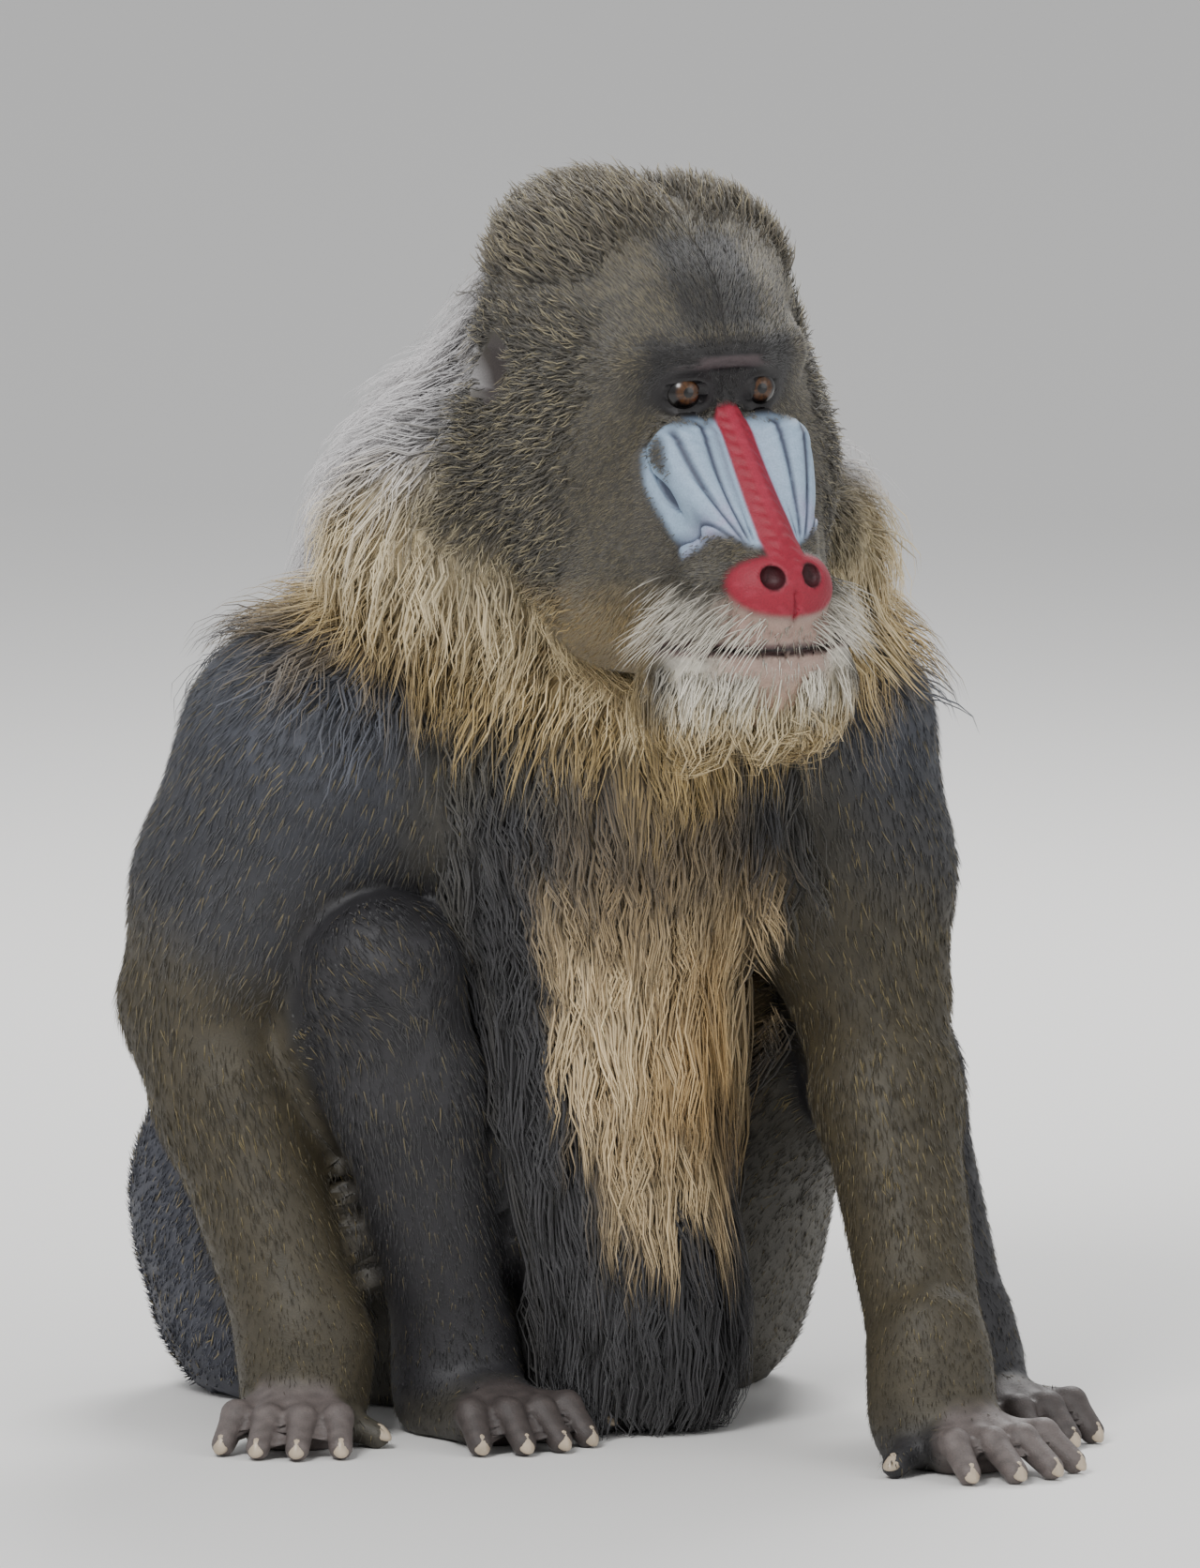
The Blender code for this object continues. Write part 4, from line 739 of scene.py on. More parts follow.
def skin_colour(points: np.ndarray) -> np.ndarray:
    """The colour of the skin, and of the short fur right on it, with painted shade in the eye
    sockets, nostrils, muzzle furrows and mouth line and a painted highlight on the nose.
    """
    side, forward, up, along, out = head_frame(points)
    wide = np.abs(side)
    fine = wander(points, 330)
    colour = fur_colour(points) * (0.74 + 0.22 * fine[:, None])
    bare = bare_mask(points)
    # The bare face starts from the dark skin round the eyes, made darker still as painted shade in
    # the deep-set sockets.
    face = np.tile(EYE_SURROUND_AND_SHADE, (len(points), 1))
    face = laid(face, BROW_SKIN, ramp(-np.abs(up - 0.018), -0.005, -0.002) * 0.55)
    fan = np.hypot(wide - RIDGE_POLE[0], RIDGE_POLE[1] - along)
    zone = blue_zone(points)
    furrow = groove_lines(points)
    # Dark colour laid under the blue, which shows in the furrows between the ridges: partly the
    # furrows' own darker skin, partly painted shade.
    face = laid(face, MUZZLE_FURROW_DARK_AND_SHADE, zone)
    face = laid(face, MUZZLE_BLUE, zone * (1 - 0.92 * furrow) * (0.94 + 0.06 * fine))
    lilac = zone * ramp(0.036 - fan, -0.012, 0.008) * ramp(wide, 0.016, 0.026)
    face = laid(face, MUZZLE_LILAC, lilac * (0.35 + 0.25 * fine) * (1 - furrow))
    red = red_zone(points)
    face = laid(face, NOSE_RED, red)
    # Painted highlight: a pale pink stripe down the middle of the nose, laid in the same pink as the
    # nose's mottling.
    shine = red * ramp(0.0045 - wide, 0, 0.003) * ramp(0.095 - along, -0.02, 0.02)
    face = laid(face, NOSE_PINK_AND_HIGHLIGHT, red * ramp(fine, 0.2, 0.9) * 0.2 + shine * 0.35)
    nose = red
    # Painted shade: the inside of each nostril hole is darkened.
    for nostril in NOSTRILS:
        inside = ramp(-distance_to(nostril, points), -0.0012, 0.0004)
        face = laid(face, NOSTRIL_SHADE, inside)
    lip = ramp(-np.abs(points[:, 2] - JAW_TOP + 0.001), -0.0075, -0.004) * ramp(forward, 0.02, 0.04)
    face = laid(face, LIP, lip * (1 - nose))
    # Painted shade: a dark line along the mouth crease.
    face = laid(face, EYE_SURROUND_AND_SHADE * 0.5,
                np.exp(-((points[:, 2] - JAW_TOP) / 0.0016) ** 2) * ramp(forward, 0.015, 0.03))
    colour = colour * (1 - bare[:, None]) + face * bare[:, None]
    chin = ramp(-up, 0.108, 0.118) * ramp(forward, 0.025, 0.045) * (1 - bare) * 0.75
    chin = chin * ramp(0.036 - wide, -0.010, 0.008) * ramp(points[:, 2], 0.440, 0.450)
    colour = laid(colour, CHIN, chin)
    colour = laid(colour, EAR_SKIN, ear_mask(points))
    low = ramp(-points[:, 2], -0.046, -0.032)
    digits = np.tile(DIGIT_SKIN, (len(points), 1))
    feet = np.zeros(len(points))
    for limb in FEET.values():
        middle = np.array((*limb.root[:2], 0.0)) + heading(limb.heading) * limb.palm
        feet = np.maximum(feet, ramp(0.105 - np.linalg.norm(points - middle, axis=1), 0, 0.02))
    digits = laid(digits, DIGIT_DARK, feet * 0.75)
    digits = digits * (0.85 + 0.2 * fine[:, None])
    hand = low * near_digits(points)
    return colour * (1 - hand[:, None]) + digits * hand[:, None]


def near_digits(points: np.ndarray) -> np.ndarray:
    """1 on the bare fingers, toes and palms, 0 away from them."""
    share = np.zeros(len(points))
    for limb in (*HANDS.values(), *FEET.values()):
        middle = np.array((*limb.root[:2], 0.0)) + heading(limb.heading) * (limb.palm + 0.038)
        flat = np.linalg.norm((points - middle)[:, :2], axis=1)
        share = np.maximum(share, ramp(0.056 - flat, 0, 0.010))
    return share


# Meshes from arrays
def mesh_from(name: str, places: np.ndarray, faces: np.ndarray) -> bpy.types.Object:
    """A mesh of triangles linked into the scene.

    Args:
        name: the piece's plain name.
        places: one row a vertex.
        faces: one row of three vertex numbers a triangle.

    Returns:
        The new object, at the origin.
    """
    mesh = bpy.data.meshes.new(name)
    mesh.vertices.add(len(places))
    mesh.vertices.foreach_set("co", places.astype(np.float32).ravel())
    mesh.loops.add(faces.size)
    mesh.loops.foreach_set("vertex_index", faces.astype(np.int32).ravel())
    mesh.polygons.add(len(faces))
    mesh.polygons.foreach_set("loop_start", np.arange(0, faces.size, 3, dtype=np.int32))
    mesh.update(calc_edges=True)
    shown = bpy.data.objects.new(name, mesh)
    bpy.context.scene.collection.objects.link(shown)
    return shown


def paint(shown: bpy.types.Object, colours: np.ndarray) -> None:
    """Store a colour at each vertex."""
    layer = shown.data.color_attributes.new("coat", "FLOAT_COLOR", "POINT")
    rows = np.concatenate([np.clip(colours, 0, 1), np.ones((len(colours), 1))], axis=1)
    layer.data.foreach_set("color", rows.astype(np.float32).ravel())


def coordinates(mesh: bpy.types.Mesh) -> np.ndarray:
    """The places of a mesh's vertices as rows."""
    flat = np.empty(len(mesh.vertices) * 3)
    mesh.vertices.foreach_get("co", flat)
    return flat.reshape(-1, 3)


def add_hull(shape: bmesh.types.BMesh, form: Form) -> None:
    """Add the closed hull of one form to a bmesh."""
    hull = bmesh.new()
    for centre, radius in ((form.start, form.start_radius), (form.end, form.end_radius)):
        bmesh.ops.create_icosphere(hull, subdivisions=3, radius=radius,
                                   matrix=Matrix.Translation(Vector(centre)))
    made = bmesh.ops.convex_hull(hull, input=hull.verts)
    loose = [item for item in made["geom_interior"] + made["geom_unused"]
             if isinstance(item, bmesh.types.BMVert)]
    bmesh.ops.delete(hull, geom=list(set(loose)), context="VERTS")
    middle = (form.start + form.end) / 2
    for way, ratio in form.stretch:
        for vertex in hull.verts:
            reach = float((np.array(vertex.co) - middle) @ way)
            vertex.co = vertex.co + Vector(way * reach * (ratio - 1))
    piece = bpy.data.meshes.new("hull")
    hull.to_mesh(piece)
    hull.free()
    shape.from_mesh(piece)
    bpy.data.meshes.remove(piece)


@dataclass
class Skin:
    """The one skin of the animal and what the coat needs to know of it."""

    shown: bpy.types.Object
    places: np.ndarray
    normals: np.ndarray
    triangles: np.ndarray
    unwrap: np.ndarray
    tree: BVHTree


def refine(mesh: bpy.types.Mesh, wanted: Callable) -> None:
    """Halve the edges of those faces where finer detail is wanted."""
    shape = bmesh.new()
    shape.from_mesh(mesh)
    centres = np.array([face.calc_center_median()[:] for face in shape.faces])
    shape.faces.ensure_lookup_table()
    edges = {edge for index in np.nonzero(wanted(centres))[0] for edge in shape.faces[index].edges}
    bmesh.ops.subdivide_edges(shape, edges=list(edges), cuts=1, use_grid_fill=True)
    shape.to_mesh(mesh)
    shape.free()


def digit_area(centres: np.ndarray) -> np.ndarray:
    """The bare ends of hands and feet."""
    return (centres[:, 2] < 0.050) & (near_digits(centres) > 0)


def face_area(centres: np.ndarray) -> np.ndarray:
    """The face, hands and feet."""
    side, forward, up, _, _ = head_frame(centres)
    face = (forward > -0.036) & (centres[:, 2] > 0.465) & (np.abs(side) < 0.060) & (up < 0.036)
    return face | digit_area(centres)


def muzzle_area(centres: np.ndarray) -> np.ndarray:
    """The muzzle, eyes and mouth."""
    side, forward, up, _, _ = head_frame(centres)
    inside = (forward > -0.027) & (centres[:, 2] > 0.480) & (up < 0.027) & (np.abs(side) < 0.053)
    return inside & (bare_mask(centres) > 0.02)


def colour_area(centres: np.ndarray) -> np.ndarray:
    """The furrows in the blue sides of the muzzle."""
    return blue_zone(centres) * groove_lines(centres) > 0.12


def thin_out(skin: bpy.types.Object) -> None:
    """Use larger faces where fur hides the skin."""
    places = coordinates(skin.data)
    _, forward, _, _, _ = head_frame(places)
    shown = (forward > -0.045) & (places[:, 2] > 0.46)
    shown = shown | ((places[:, 2] < 0.055) & (near_digits(places) > 0))
    furred_places = skin.vertex_groups.new(name="furred")
    furred_places.add(np.nonzero(~shown)[0].tolist(), 1.0, "REPLACE")
    thin = skin.modifiers.new("Decimate", "DECIMATE")
    thin.ratio = FURRED_RATIO
    thin.vertex_group = furred_places.name
    bpy.ops.object.modifier_apply(modifier=thin.name)
    skin.vertex_groups.clear()


def build_skin() -> Skin:
    """Join the forms, draw the mesh onto the skin's surface and unwrap it."""
    forms = WHOLE_TRUNK + leg_forms("right") + leg_forms("left") + HEAD_FORMS + BEARD_FORMS
    for limb in (*HANDS.values(), *FEET.values()):
        forms = forms + limb_end_forms(limb)
    shape = bmesh.new()
    for form in forms:
        add_hull(shape, form)
    mesh = bpy.data.meshes.new("skin")
    shape.to_mesh(mesh)
    shape.free()
    skin = bpy.data.objects.new("skin", mesh)
    bpy.context.scene.collection.objects.link(skin)
    bpy.ops.object.select_all(action="DESELECT")
    skin.select_set(True)
    bpy.context.view_layer.objects.active = skin
    remesh = skin.modifiers.new("Remesh", "REMESH")
    remesh.mode = "VOXEL"
    remesh.voxel_size = SKIN_VOXEL
    bpy.ops.object.modifier_apply(modifier=remesh.name)
    LOG.info("first mesh: %d faces", len(skin.data.polygons))
    thin_out(skin)
    LOG.info("thinned: %d faces", len(skin.data.polygons))
    places = drawn_on(coordinates(skin.data), 3)
    skin.data.vertices.foreach_set("co", places.ravel())
    for wanted in (face_area, muzzle_area, colour_area):
        refine(skin.data, wanted)
        LOG.info("finer: %d faces", len(skin.data.polygons))
    places = drawn_on(coordinates(skin.data), 3)
    places[:, 2] = np.maximum(places[:, 2], 0.0006)
    skin.data.vertices.foreach_set("co", places.ravel())
    skin.data.update()
    bpy.ops.object.shade_smooth()
    LOG.info("skin: %d vertices", len(places))
    bpy.ops.object.mode_set(mode="EDIT")
    bpy.ops.mesh.select_all(action="SELECT")
    bpy.ops.uv.smart_project(angle_limit=math.radians(66), island_margin=0.002)
    bpy.ops.object.mode_set(mode="OBJECT")
    skin.data.uv_layers[0].name = "OFBake"
    mesh = skin.data
    mesh.calc_loop_triangles()
    loops = np.array([triangle.loops[:] for triangle in mesh.loop_triangles])
    flat = np.empty(len(mesh.loops) * 2)
    mesh.uv_layers["OFBake"].data.foreach_get("uv", flat)
    flat = flat.reshape(-1, 2)
    corners = np.empty(len(mesh.loops), dtype=np.int64)
    mesh.loops.foreach_get("vertex_index", corners)
    normals = np.empty(len(mesh.vertices) * 3)
    mesh.vertex_normals.foreach_get("vector", normals)
    tree = BVHTree.FromPolygons([Vector(place) for place in places], corners[loops].tolist())
    return Skin(skin, places, normals.reshape(-1, 3), corners[loops], flat[loops], tree)


def drawn_on(places: np.ndarray, steps: int) -> np.ndarray:
    """Places moved onto the skin's surface."""
    for _ in range(steps):
        value = skin_distance(places)
        slope = quick_slope(places, value)
        steep = np.maximum((slope ** 2).sum(axis=1), 0.25)
        step = slope * (value / steep)[:, None]
        length = np.linalg.norm(step, axis=1)[:, None]
        places = places - step * np.minimum(1, 0.004 / np.maximum(length, 1e-9))
    return places


# The coat
@dataclass(frozen=True)
class Coat:
    """A family of tufts or strands."""

    name: str
    slot: Slot
    nodes: tuple
    count: int
    length: float
    width: float
    lift: float
    rings: int
    seed: int
    clumps: int = 0
    hang: float = 0.0
    sink: float = 0.0015


def coat_lie(points: np.ndarray) -> np.ndarray:
    """The way that the hair grows at each place, before it is laid on the skin."""
    side, forward, up, _, _ = head_frame(points)
    ways = np.zeros((len(points), 3))
    total = np.zeros(len(points))
    limbs = []
    for name, _ in SIDES:
        limbs += arm_forms(name)[1:6] + leg_forms(name)[2:7]
    limbs.append(TAIL_FORM)
    nearest = np.full(len(points), 1e9)
    found = []
    for form in limbs:
        distance = distance_to(form, points)
        found.append(distance)
        nearest = np.minimum(nearest, distance)
    for form, distance in zip(limbs, found):
        share = np.exp(-np.clip(distance - nearest, 0, 1) / 0.012)
        ways += share[:, None] * unit(form.end - form.start)
        total += share
    ways /= np.maximum(total, 1e-9)[:, None]
    trunk = field(TRUNK_FORMS, points)
    share = ramp(nearest - trunk, -0.010, 0.020)[:, None]
    aside = (points - BODY_AXIS) @ BODY_LEFT
    down = -UP_ROW - np.outer(aside, BODY_LEFT) * 2.0
    ways = ways * (1 - share) + down * share
    neck = ramp(points[:, 2], 0.42, 0.48)[:, None] * ramp(-behind_cut(points), -0.02, 0.02)[:, None]
    sideways = np.sign(side)[:, None] * HEAD_LEFT
    back = -unit(HEAD_FORWARD * 0.917 + UP * 0.40) * 0.5 - UP * 0.85 + sideways * 0.10
    ways = ways * (1 - neck) + back * neck
    head = on_head(points)[:, None]
    cheek = -HEAD_FORWARD * 0.8 - UP * 0.45 + sideways * 0.15
    crown = -HEAD_FORWARD * 0.9 + UP * 0.5 + sideways * 0.25
    top = ramp(up, -0.005, 0.040)[:, None]
    lie = cheek * (1 - top) + crown * top
    chin = (ramp(-up, 0.105, 0.125) * ramp(forward, -0.03, 0.01))[:, None]
    lie = lie * (1 - chin) + (-UP - HEAD_FORWARD * 0.25 + sideways * 0.12) * chin
    return rows_unit(ways * (1 - head) + lie * head)


def rooted(skin: Skin, count: int, weigh: Callable, chance: np.random.Generator) -> tuple:
    """Roots spread over the skin, with their normals and places on the unwrap."""
    a, b, c = (skin.places[skin.triangles[:, i]] for i in range(3))
    areas = np.linalg.norm(np.cross(b - a, c - a), axis=1) * weigh((a + b + c) / 3)
    picks = chance.choice(len(areas), size=count, p=areas / areas.sum())
    first, second = chance.random(count), chance.random(count)
    over = first + second > 1
    first[over], second[over] = 1 - first[over], 1 - second[over]
    weights = np.stack([1 - first - second, first, second], axis=1)
    corners = skin.triangles[picks]
    places = (skin.places[corners] * weights[:, :, None]).sum(axis=1)
    normals = rows_unit((skin.normals[corners] * weights[:, :, None]).sum(axis=1))
    flat = (skin.unwrap[picks] * weights[:, :, None]).sum(axis=1)
    return places, normals, flat


def laid_lines(places: np.ndarray, normals: np.ndarray, ways: np.ndarray, lengths: np.ndarray,
               lifts: np.ndarray, rings: int) -> np.ndarray:
    """Middle lines of short tufts that rise a little and lie down again."""
    ahead = rows_unit(ways - normals * (ways * normals).sum(axis=1)[:, None])
    shares = np.linspace(0, 1, rings)
    rise = shares * (1 - 0.35 * shares)
    line = places[:, None] + ahead[:, None] * (shares[None, :, None] * lengths[:, None, None])
    return line + normals[:, None] * (rise[None, :, None] * lifts[:, None, None])


def guide_lines(skin: Skin, coat: Coat, places: np.ndarray, normals: np.ndarray,
                lengths: np.ndarray, chance: np.random.Generator) -> np.ndarray:
    """Middle lines of long clumps that follow the skin and then hang."""
    ways = coat_lie(places)
    curls = chance.uniform(-0.62, 0.62, len(places))
    steps = coat.rings + 1
    lines = [places]
    for step in range(1, steps):
        ahead = rows_unit(ways - normals * (ways * normals).sum(axis=1)[:, None])
        ahead = rows_unit(ahead + np.cross(normals, ahead) * curls[:, None])
        curls = -curls * 0.85
        stride = lengths[:, None] / (steps - 1)
        free = places + ways * stride
        rise = coat.lift * math.sin(min(1.0, step / (steps - 1) * 1.35) * math.pi / 2)
        lying = places + ahead * stride
        near = [skin.tree.find_nearest(Vector(place)) for place in lying]
        ground = np.array([hit[0][:] for hit in near])
        turned = np.array([hit[1][:] for hit in near])
        normals = rows_unit(normals * 0.3 + turned * 0.7)
        lying = ground + normals * rise
        hanging = 0.0 if step < 2 else coat.hang
        places = lying * (1 - hanging) + free * hanging
        places[:, 2] = np.maximum(places[:, 2], 0.003)
        lines.append(places)
    return np.stack(lines, axis=1)


def strand_mesh(lines: np.ndarray, normals: np.ndarray, widths: np.ndarray,
                thickness: float) -> tuple:
    """Closed tapered blades of three sides around many middle lines.

    Args:
        lines: middle lines, one row of places a blade.
        normals: the way out from the skin at each root.
        widths: half width of each blade at its widest.
        thickness: how thick each blade is against its width.

    Returns:
        The vertices and triangles of all blades, and the vertex count of one blade.
    """
    count, rings, _ = lines.shape
    ahead = np.gradient(lines, axis=1)
    ahead = ahead / np.maximum(np.linalg.norm(ahead, axis=2), 1e-9)[:, :, None]
    across = np.cross(ahead, normals[:, None])
    across = across / np.maximum(np.linalg.norm(across, axis=2), 1e-9)[:, :, None]
    out = np.cross(across, ahead)
    shares = np.linspace(0, 1, rings)
    taper = np.clip(1.25 * (1 - shares ** 1.6), 0, 1) * (0.65 + 0.35 * ramp(shares, 0, 0.25))
    taper = np.ones(rings) if rings == 2 else taper
    size = widths[:, None] * taper[None]
    size = size[:, :, None]
    left = lines - across * size
    right = lines + across * size
    top = lines + out * size * thickness
    body = np.stack([left, right, top], axis=2)[:, :-1].reshape(count, -1, 3)
    tip = lines[:, -1:]
    places = np.concatenate([body, tip], axis=1)
    per = places.shape[1]
    faces = [(0, 2, 1)]
    for ring in range(rings - 2):
        base = ring * 3
        for corner in range(3):
            other = (corner + 1) % 3
            faces.append((base + corner, base + other, base + 3 + other))
            faces.append((base + corner, base + 3 + other, base + 3 + corner))
    base = (rings - 2) * 3
    for corner in range(3):
        faces.append((base + corner, base + (corner + 1) % 3, per - 1))
    faces = np.array(faces)
    whole = faces[None] + (np.arange(count) * per)[:, None, None]
    return places.reshape(-1, 3), whole.reshape(-1, 3), per


def unwrap_strands(shown: bpy.types.Object, flat: np.ndarray, per: int, face_count: int) -> None:
    """Give each blade a small patch at its root's place on the skin's unwrap."""
    layer = shown.data.uv_layers.new(name="OFBake")
    mesh = shown.data
    corners = np.empty(len(mesh.loops), dtype=np.int64)
    mesh.loops.foreach_get("vertex_index", corners)
    blade, vertex = corners // per, corners % per
    ring, corner = vertex // 3, vertex % 3
    offset = np.stack([(corner - 1) * 0.0007, ring / max(1, per // 3) * 0.003 - 0.0015], axis=1)
    places = np.clip(flat[blade] + offset, 0.0005, 0.9995)
    layer.data.foreach_set("uv", places.ravel())


@dataclass(frozen=True)
class Hair:
    """How one family of tufts is coloured along its length."""

    root: float = 0.55
    tip: float = 1.15
    fleck: tuple = (0.0, 0.0, 0.0)
    fleck_share: float = 0.0
    uneven: float = 0.16


def blade_colours(roots: np.ndarray, per: int, rings: int, coat_hair: Hair,
                  chance: np.random.Generator) -> np.ndarray:
    """A colour at each vertex: darker at the root, banded and paler at the tip."""
    base = fur_colour(roots)
    tone = 1 + chance.normal(0, coat_hair.uneven, len(roots))
    base = base * np.clip(tone, 0.5, 1.7)[:, None]
    shares = np.repeat(np.arange(rings) / (rings - 1), 3)[:per - 1]
    shares = np.append(shares[:per - 1], 1.0)
    light = coat_hair.root + (coat_hair.tip - coat_hair.root) * ramp(shares, 0.0, 0.8)
    colours = base[:, None] * light[None, :, None]
    if coat_hair.fleck_share > 0:
        chosen = chance.random(len(roots)) < coat_hair.fleck_share
        chosen = chosen * np.clip((base.mean(axis=1) - 0.008) / 0.025, 0, 1)
        band = ramp(shares, 0.35, 0.75)[None, :, None] * chosen[:, None, None]
        fleck = np.array(coat_hair.fleck)[None, None]
        colours = colours * (1 - band * 0.8) + fleck * band * 0.8
    return colours.reshape(-1, 3)


class CoatMaker:
    """Builds every family of tufts over one skin."""

    def __init__(self, skin: Skin, look: bpy.types.Material) -> None:
        """Keep the skin and the coat's finish.

        Args:
            skin: the skin that the coat grows on.
            look: the finish that reads the stored colours.
        """
        self.skin = skin
        self.look = look
        self.made: list[bpy.types.Object] = []

    def finish_piece(self, coat: Coat, lines: np.ndarray, normals: np.ndarray, flat: np.ndarray,
                     widths: np.ndarray, hair: Hair, roots: np.ndarray,
                     chance: np.random.Generator, thickness: float = 0.5) -> None:
        """Mesh, colour and unwrap one family.

        Args:
            coat: the family.
            lines: middle lines of its blades.
            normals: the way out from the skin at each root.
            flat: each root's place on the unwrap of the skin.
            widths: half width of each blade.
            hair: how the blades are coloured.
            roots: the roots on the skin.
            chance: the family's random draws.
            thickness: how thick each blade is against its width.
        """
        places, faces, per = strand_mesh(lines, normals, widths, thickness)
        places[:, 2] = np.maximum(places[:, 2], 0.0004)
        shown = mesh_from(coat.name, places, faces)
        paint(shown, blade_colours(roots, per, lines.shape[1], hair, chance))
        unwrap_strands(shown, flat, per, len(faces))
        shown.data.materials.append(self.look)
        self.made.append(shown)
        shown["slot_name"] = coat.slot.value
        shown["node_names"] = ",".join(coat.nodes)
        LOG.info("%s: %d blades, %d triangles", coat.name, len(roots), len(faces))

    def short(self, coat: Coat, weigh: Callable, hair: Hair, scale: Callable) -> None:
        """Short fur: single tufts that lie along the body."""
        chance = np.random.default_rng(coat.seed)
        places, normals, flat = rooted(self.skin, coat.count, weigh, chance)
        ways = coat_lie(places) + chance.normal(0, 0.16, places.shape)
        size = scale(places) * chance.uniform(0.7, 1.2, len(places))
        lift = coat.lift * np.sqrt(size) * chance.uniform(0.6, 1.15, len(places)) + coat.sink
        lines = laid_lines(places - normals * coat.sink, normals, ways, coat.length * size, lift,
                           coat.rings)
        widths = coat.width * chance.uniform(0.7, 1.2, len(places)) * np.sqrt(size)
        self.finish_piece(coat, lines, normals, flat, widths, hair, places, chance)

    def long(self, coat: Coat, weigh: Callable, hair: Hair, gather: float = 0.7) -> None:
        """Long hair: strands that gather into clumps towards their tips."""
        chance = np.random.default_rng(coat.seed)
        centres, centre_normals, _ = rooted(self.skin, coat.clumps, weigh, chance)
        lengths = coat.length * chance.uniform(0.75, 1.15, coat.clumps)
        guides = guide_lines(self.skin, coat, centres - centre_normals * coat.sink,
                             centre_normals, lengths, chance)
        places, normals, flat = rooted(self.skin, coat.count, weigh, chance)
        owner = np.empty(len(places), dtype=np.int64)
        for start in range(0, len(places), 4000):
            part = places[start:start + 4000]
            gaps = np.linalg.norm(part[:, None] - centres[None], axis=2)
            gaps = gaps * chance.uniform(0.8, 1.25, gaps.shape)
            owner[start:start + 4000] = gaps.argmin(axis=1)
        offset = places - centres[owner]
        guide = guides[owner]
        shares = np.linspace(0, 1, guide.shape[1])
        spread = 1 - gather * ramp(shares, 0.05, 1.0)
        stretch = chance.uniform(0.72, 1.06, len(places))
        line = guide[:, :1] + (guide - guide[:, :1]) * stretch[:, None, None]
        line = line + offset[:, None] * spread[None, :, None]
        stray = chance.normal(0, 0.0022, (len(places), 3))
        line = line + stray[:, None] * ramp(shares, 0.2, 1.0)[None, :, None]
        bump = chance.uniform(-0.35, 0.25, len(places)) * coat.lift
        line = line + normals[:, None] * (bump[:, None, None] * ramp(shares, 0, 0.5)[None, :, None])
        line[:, :, 2] = np.maximum(line[:, :, 2], 0.0015)
        widths = coat.width * chance.uniform(0.6, 1.25, len(places))
        self.finish_piece(coat, line, normals, flat, widths, hair, places, chance)


def furred(points: np.ndarray) -> np.ndarray:
    """Where short fur grows: everywhere but the bare face, digits and ground."""
    share = (1 - bare_mask(points)) * (1 - ear_mask(points))
    share = share * (1 - near_digits(points) * ramp(-points[:, 2], -0.050, -0.034))
    return share * ramp(points[:, 2], 0.004, 0.010) + 1e-9


def head_share(points: np.ndarray) -> np.ndarray:
    """Short fur on the head, thin on the muzzle's sides."""
    side, forward, up, along, out = head_frame(points)
    lip = ramp(-up, 0.108, 0.118) * ramp(forward, 0.005, 0.025)
    near = 1 + 1.2 * ramp(forward, -0.08, 0.0)
    return furred(points) * ramp(on_head(points), 0.3, 0.6) * near * (1 - 0.90 * lip)


def face_share(points: np.ndarray) -> np.ndarray:
    """Finer short fur on the forehead and the cheeks beside the muzzle."""
    _, forward, up, _, _ = head_frame(points)
    return head_share(points) * ramp(forward, -0.110, -0.060) * (1 - 0.6 * ramp(-up, 0.10, 0.12))


def body_share(points: np.ndarray) -> np.ndarray:
    """Short fur behind and below the head."""
    return furred(points) * ramp(1 - on_head(points), 0.3, 0.6)


def crest_share(points: np.ndarray) -> np.ndarray:
    """The crest over the crown, in two humps with a valley between."""
    side, forward, up, _, _ = head_frame(points)
    valley = 1 - 0.75 * ramp(-np.abs(side - 0.004), -0.012, -0.003)
    return (ramp(up, 0.050, 0.068) * ramp(-forward, 0.045, 0.062) * valley
            * ramp(on_head(points), 0.3, 0.6) + 1e-12)


def cheek_share(points: np.ndarray) -> np.ndarray:
    """The longer hair on the rear of the cheeks and the sides of the head."""
    side, forward, up, _, _ = head_frame(points)
    return (ramp(np.abs(side), 0.050, 0.066) * ramp(-up, -0.055, -0.030) * ramp(up, -0.150, -0.120)
            * ramp(on_head(points), 0.3, 0.6) * ramp(-forward, 0.030, 0.050)
            * (1 - ear_mask(points)) + 1e-12)


def mane_share(points: np.ndarray) -> np.ndarray:
    """The mane round the neck and over the shoulders."""
    left = np.abs((points - BODY_AXIS) @ BODY_LEFT)
    return (ramp(0.6 - on_head(points), 0, 0.3) * ramp(points[:, 2], 0.425, 0.465)
            * ramp(0.19 - left, -0.01, 0.02) + 1e-12)


def beard_share(points: np.ndarray) -> np.ndarray:
    """The beard on the chin and both sides of the lower jaw."""
    side, forward, up, _, _ = head_frame(points)
    middle = 1 - 0.85 * ramp(0.016 - np.abs(side), -0.005, 0.005) * ramp(forward, 0.03, 0.05)
    return (ramp(-up, 0.152, 0.160) * ramp(forward, -0.020, 0.0) * ramp(0.10 - forward, 0, 0.01)
            * ramp(points[:, 2], 0.42, 0.43) * ramp(0.068 - np.abs(side), -0.004, 0.006) * middle
            + 1e-12)


def clear_of_limbs(points: np.ndarray) -> np.ndarray:
    """1 on the trunk, 0 on the arms and shins."""
    gaps = []
    for side, _ in SIDES:
        gaps.append(distance_to(Form(KNEE[side], ANKLE[side], 0.050, 0.045), points))
        gaps.append(distance_to(Form(ELBOW[side], WRIST[side], 0.060, 0.050), points))
        gaps.append(distance_to(Form(SHOULDER[side], ELBOW[side], 0.078, 0.060), points))
    return ramp(np.min(gaps, axis=0), 0.0, 0.010)


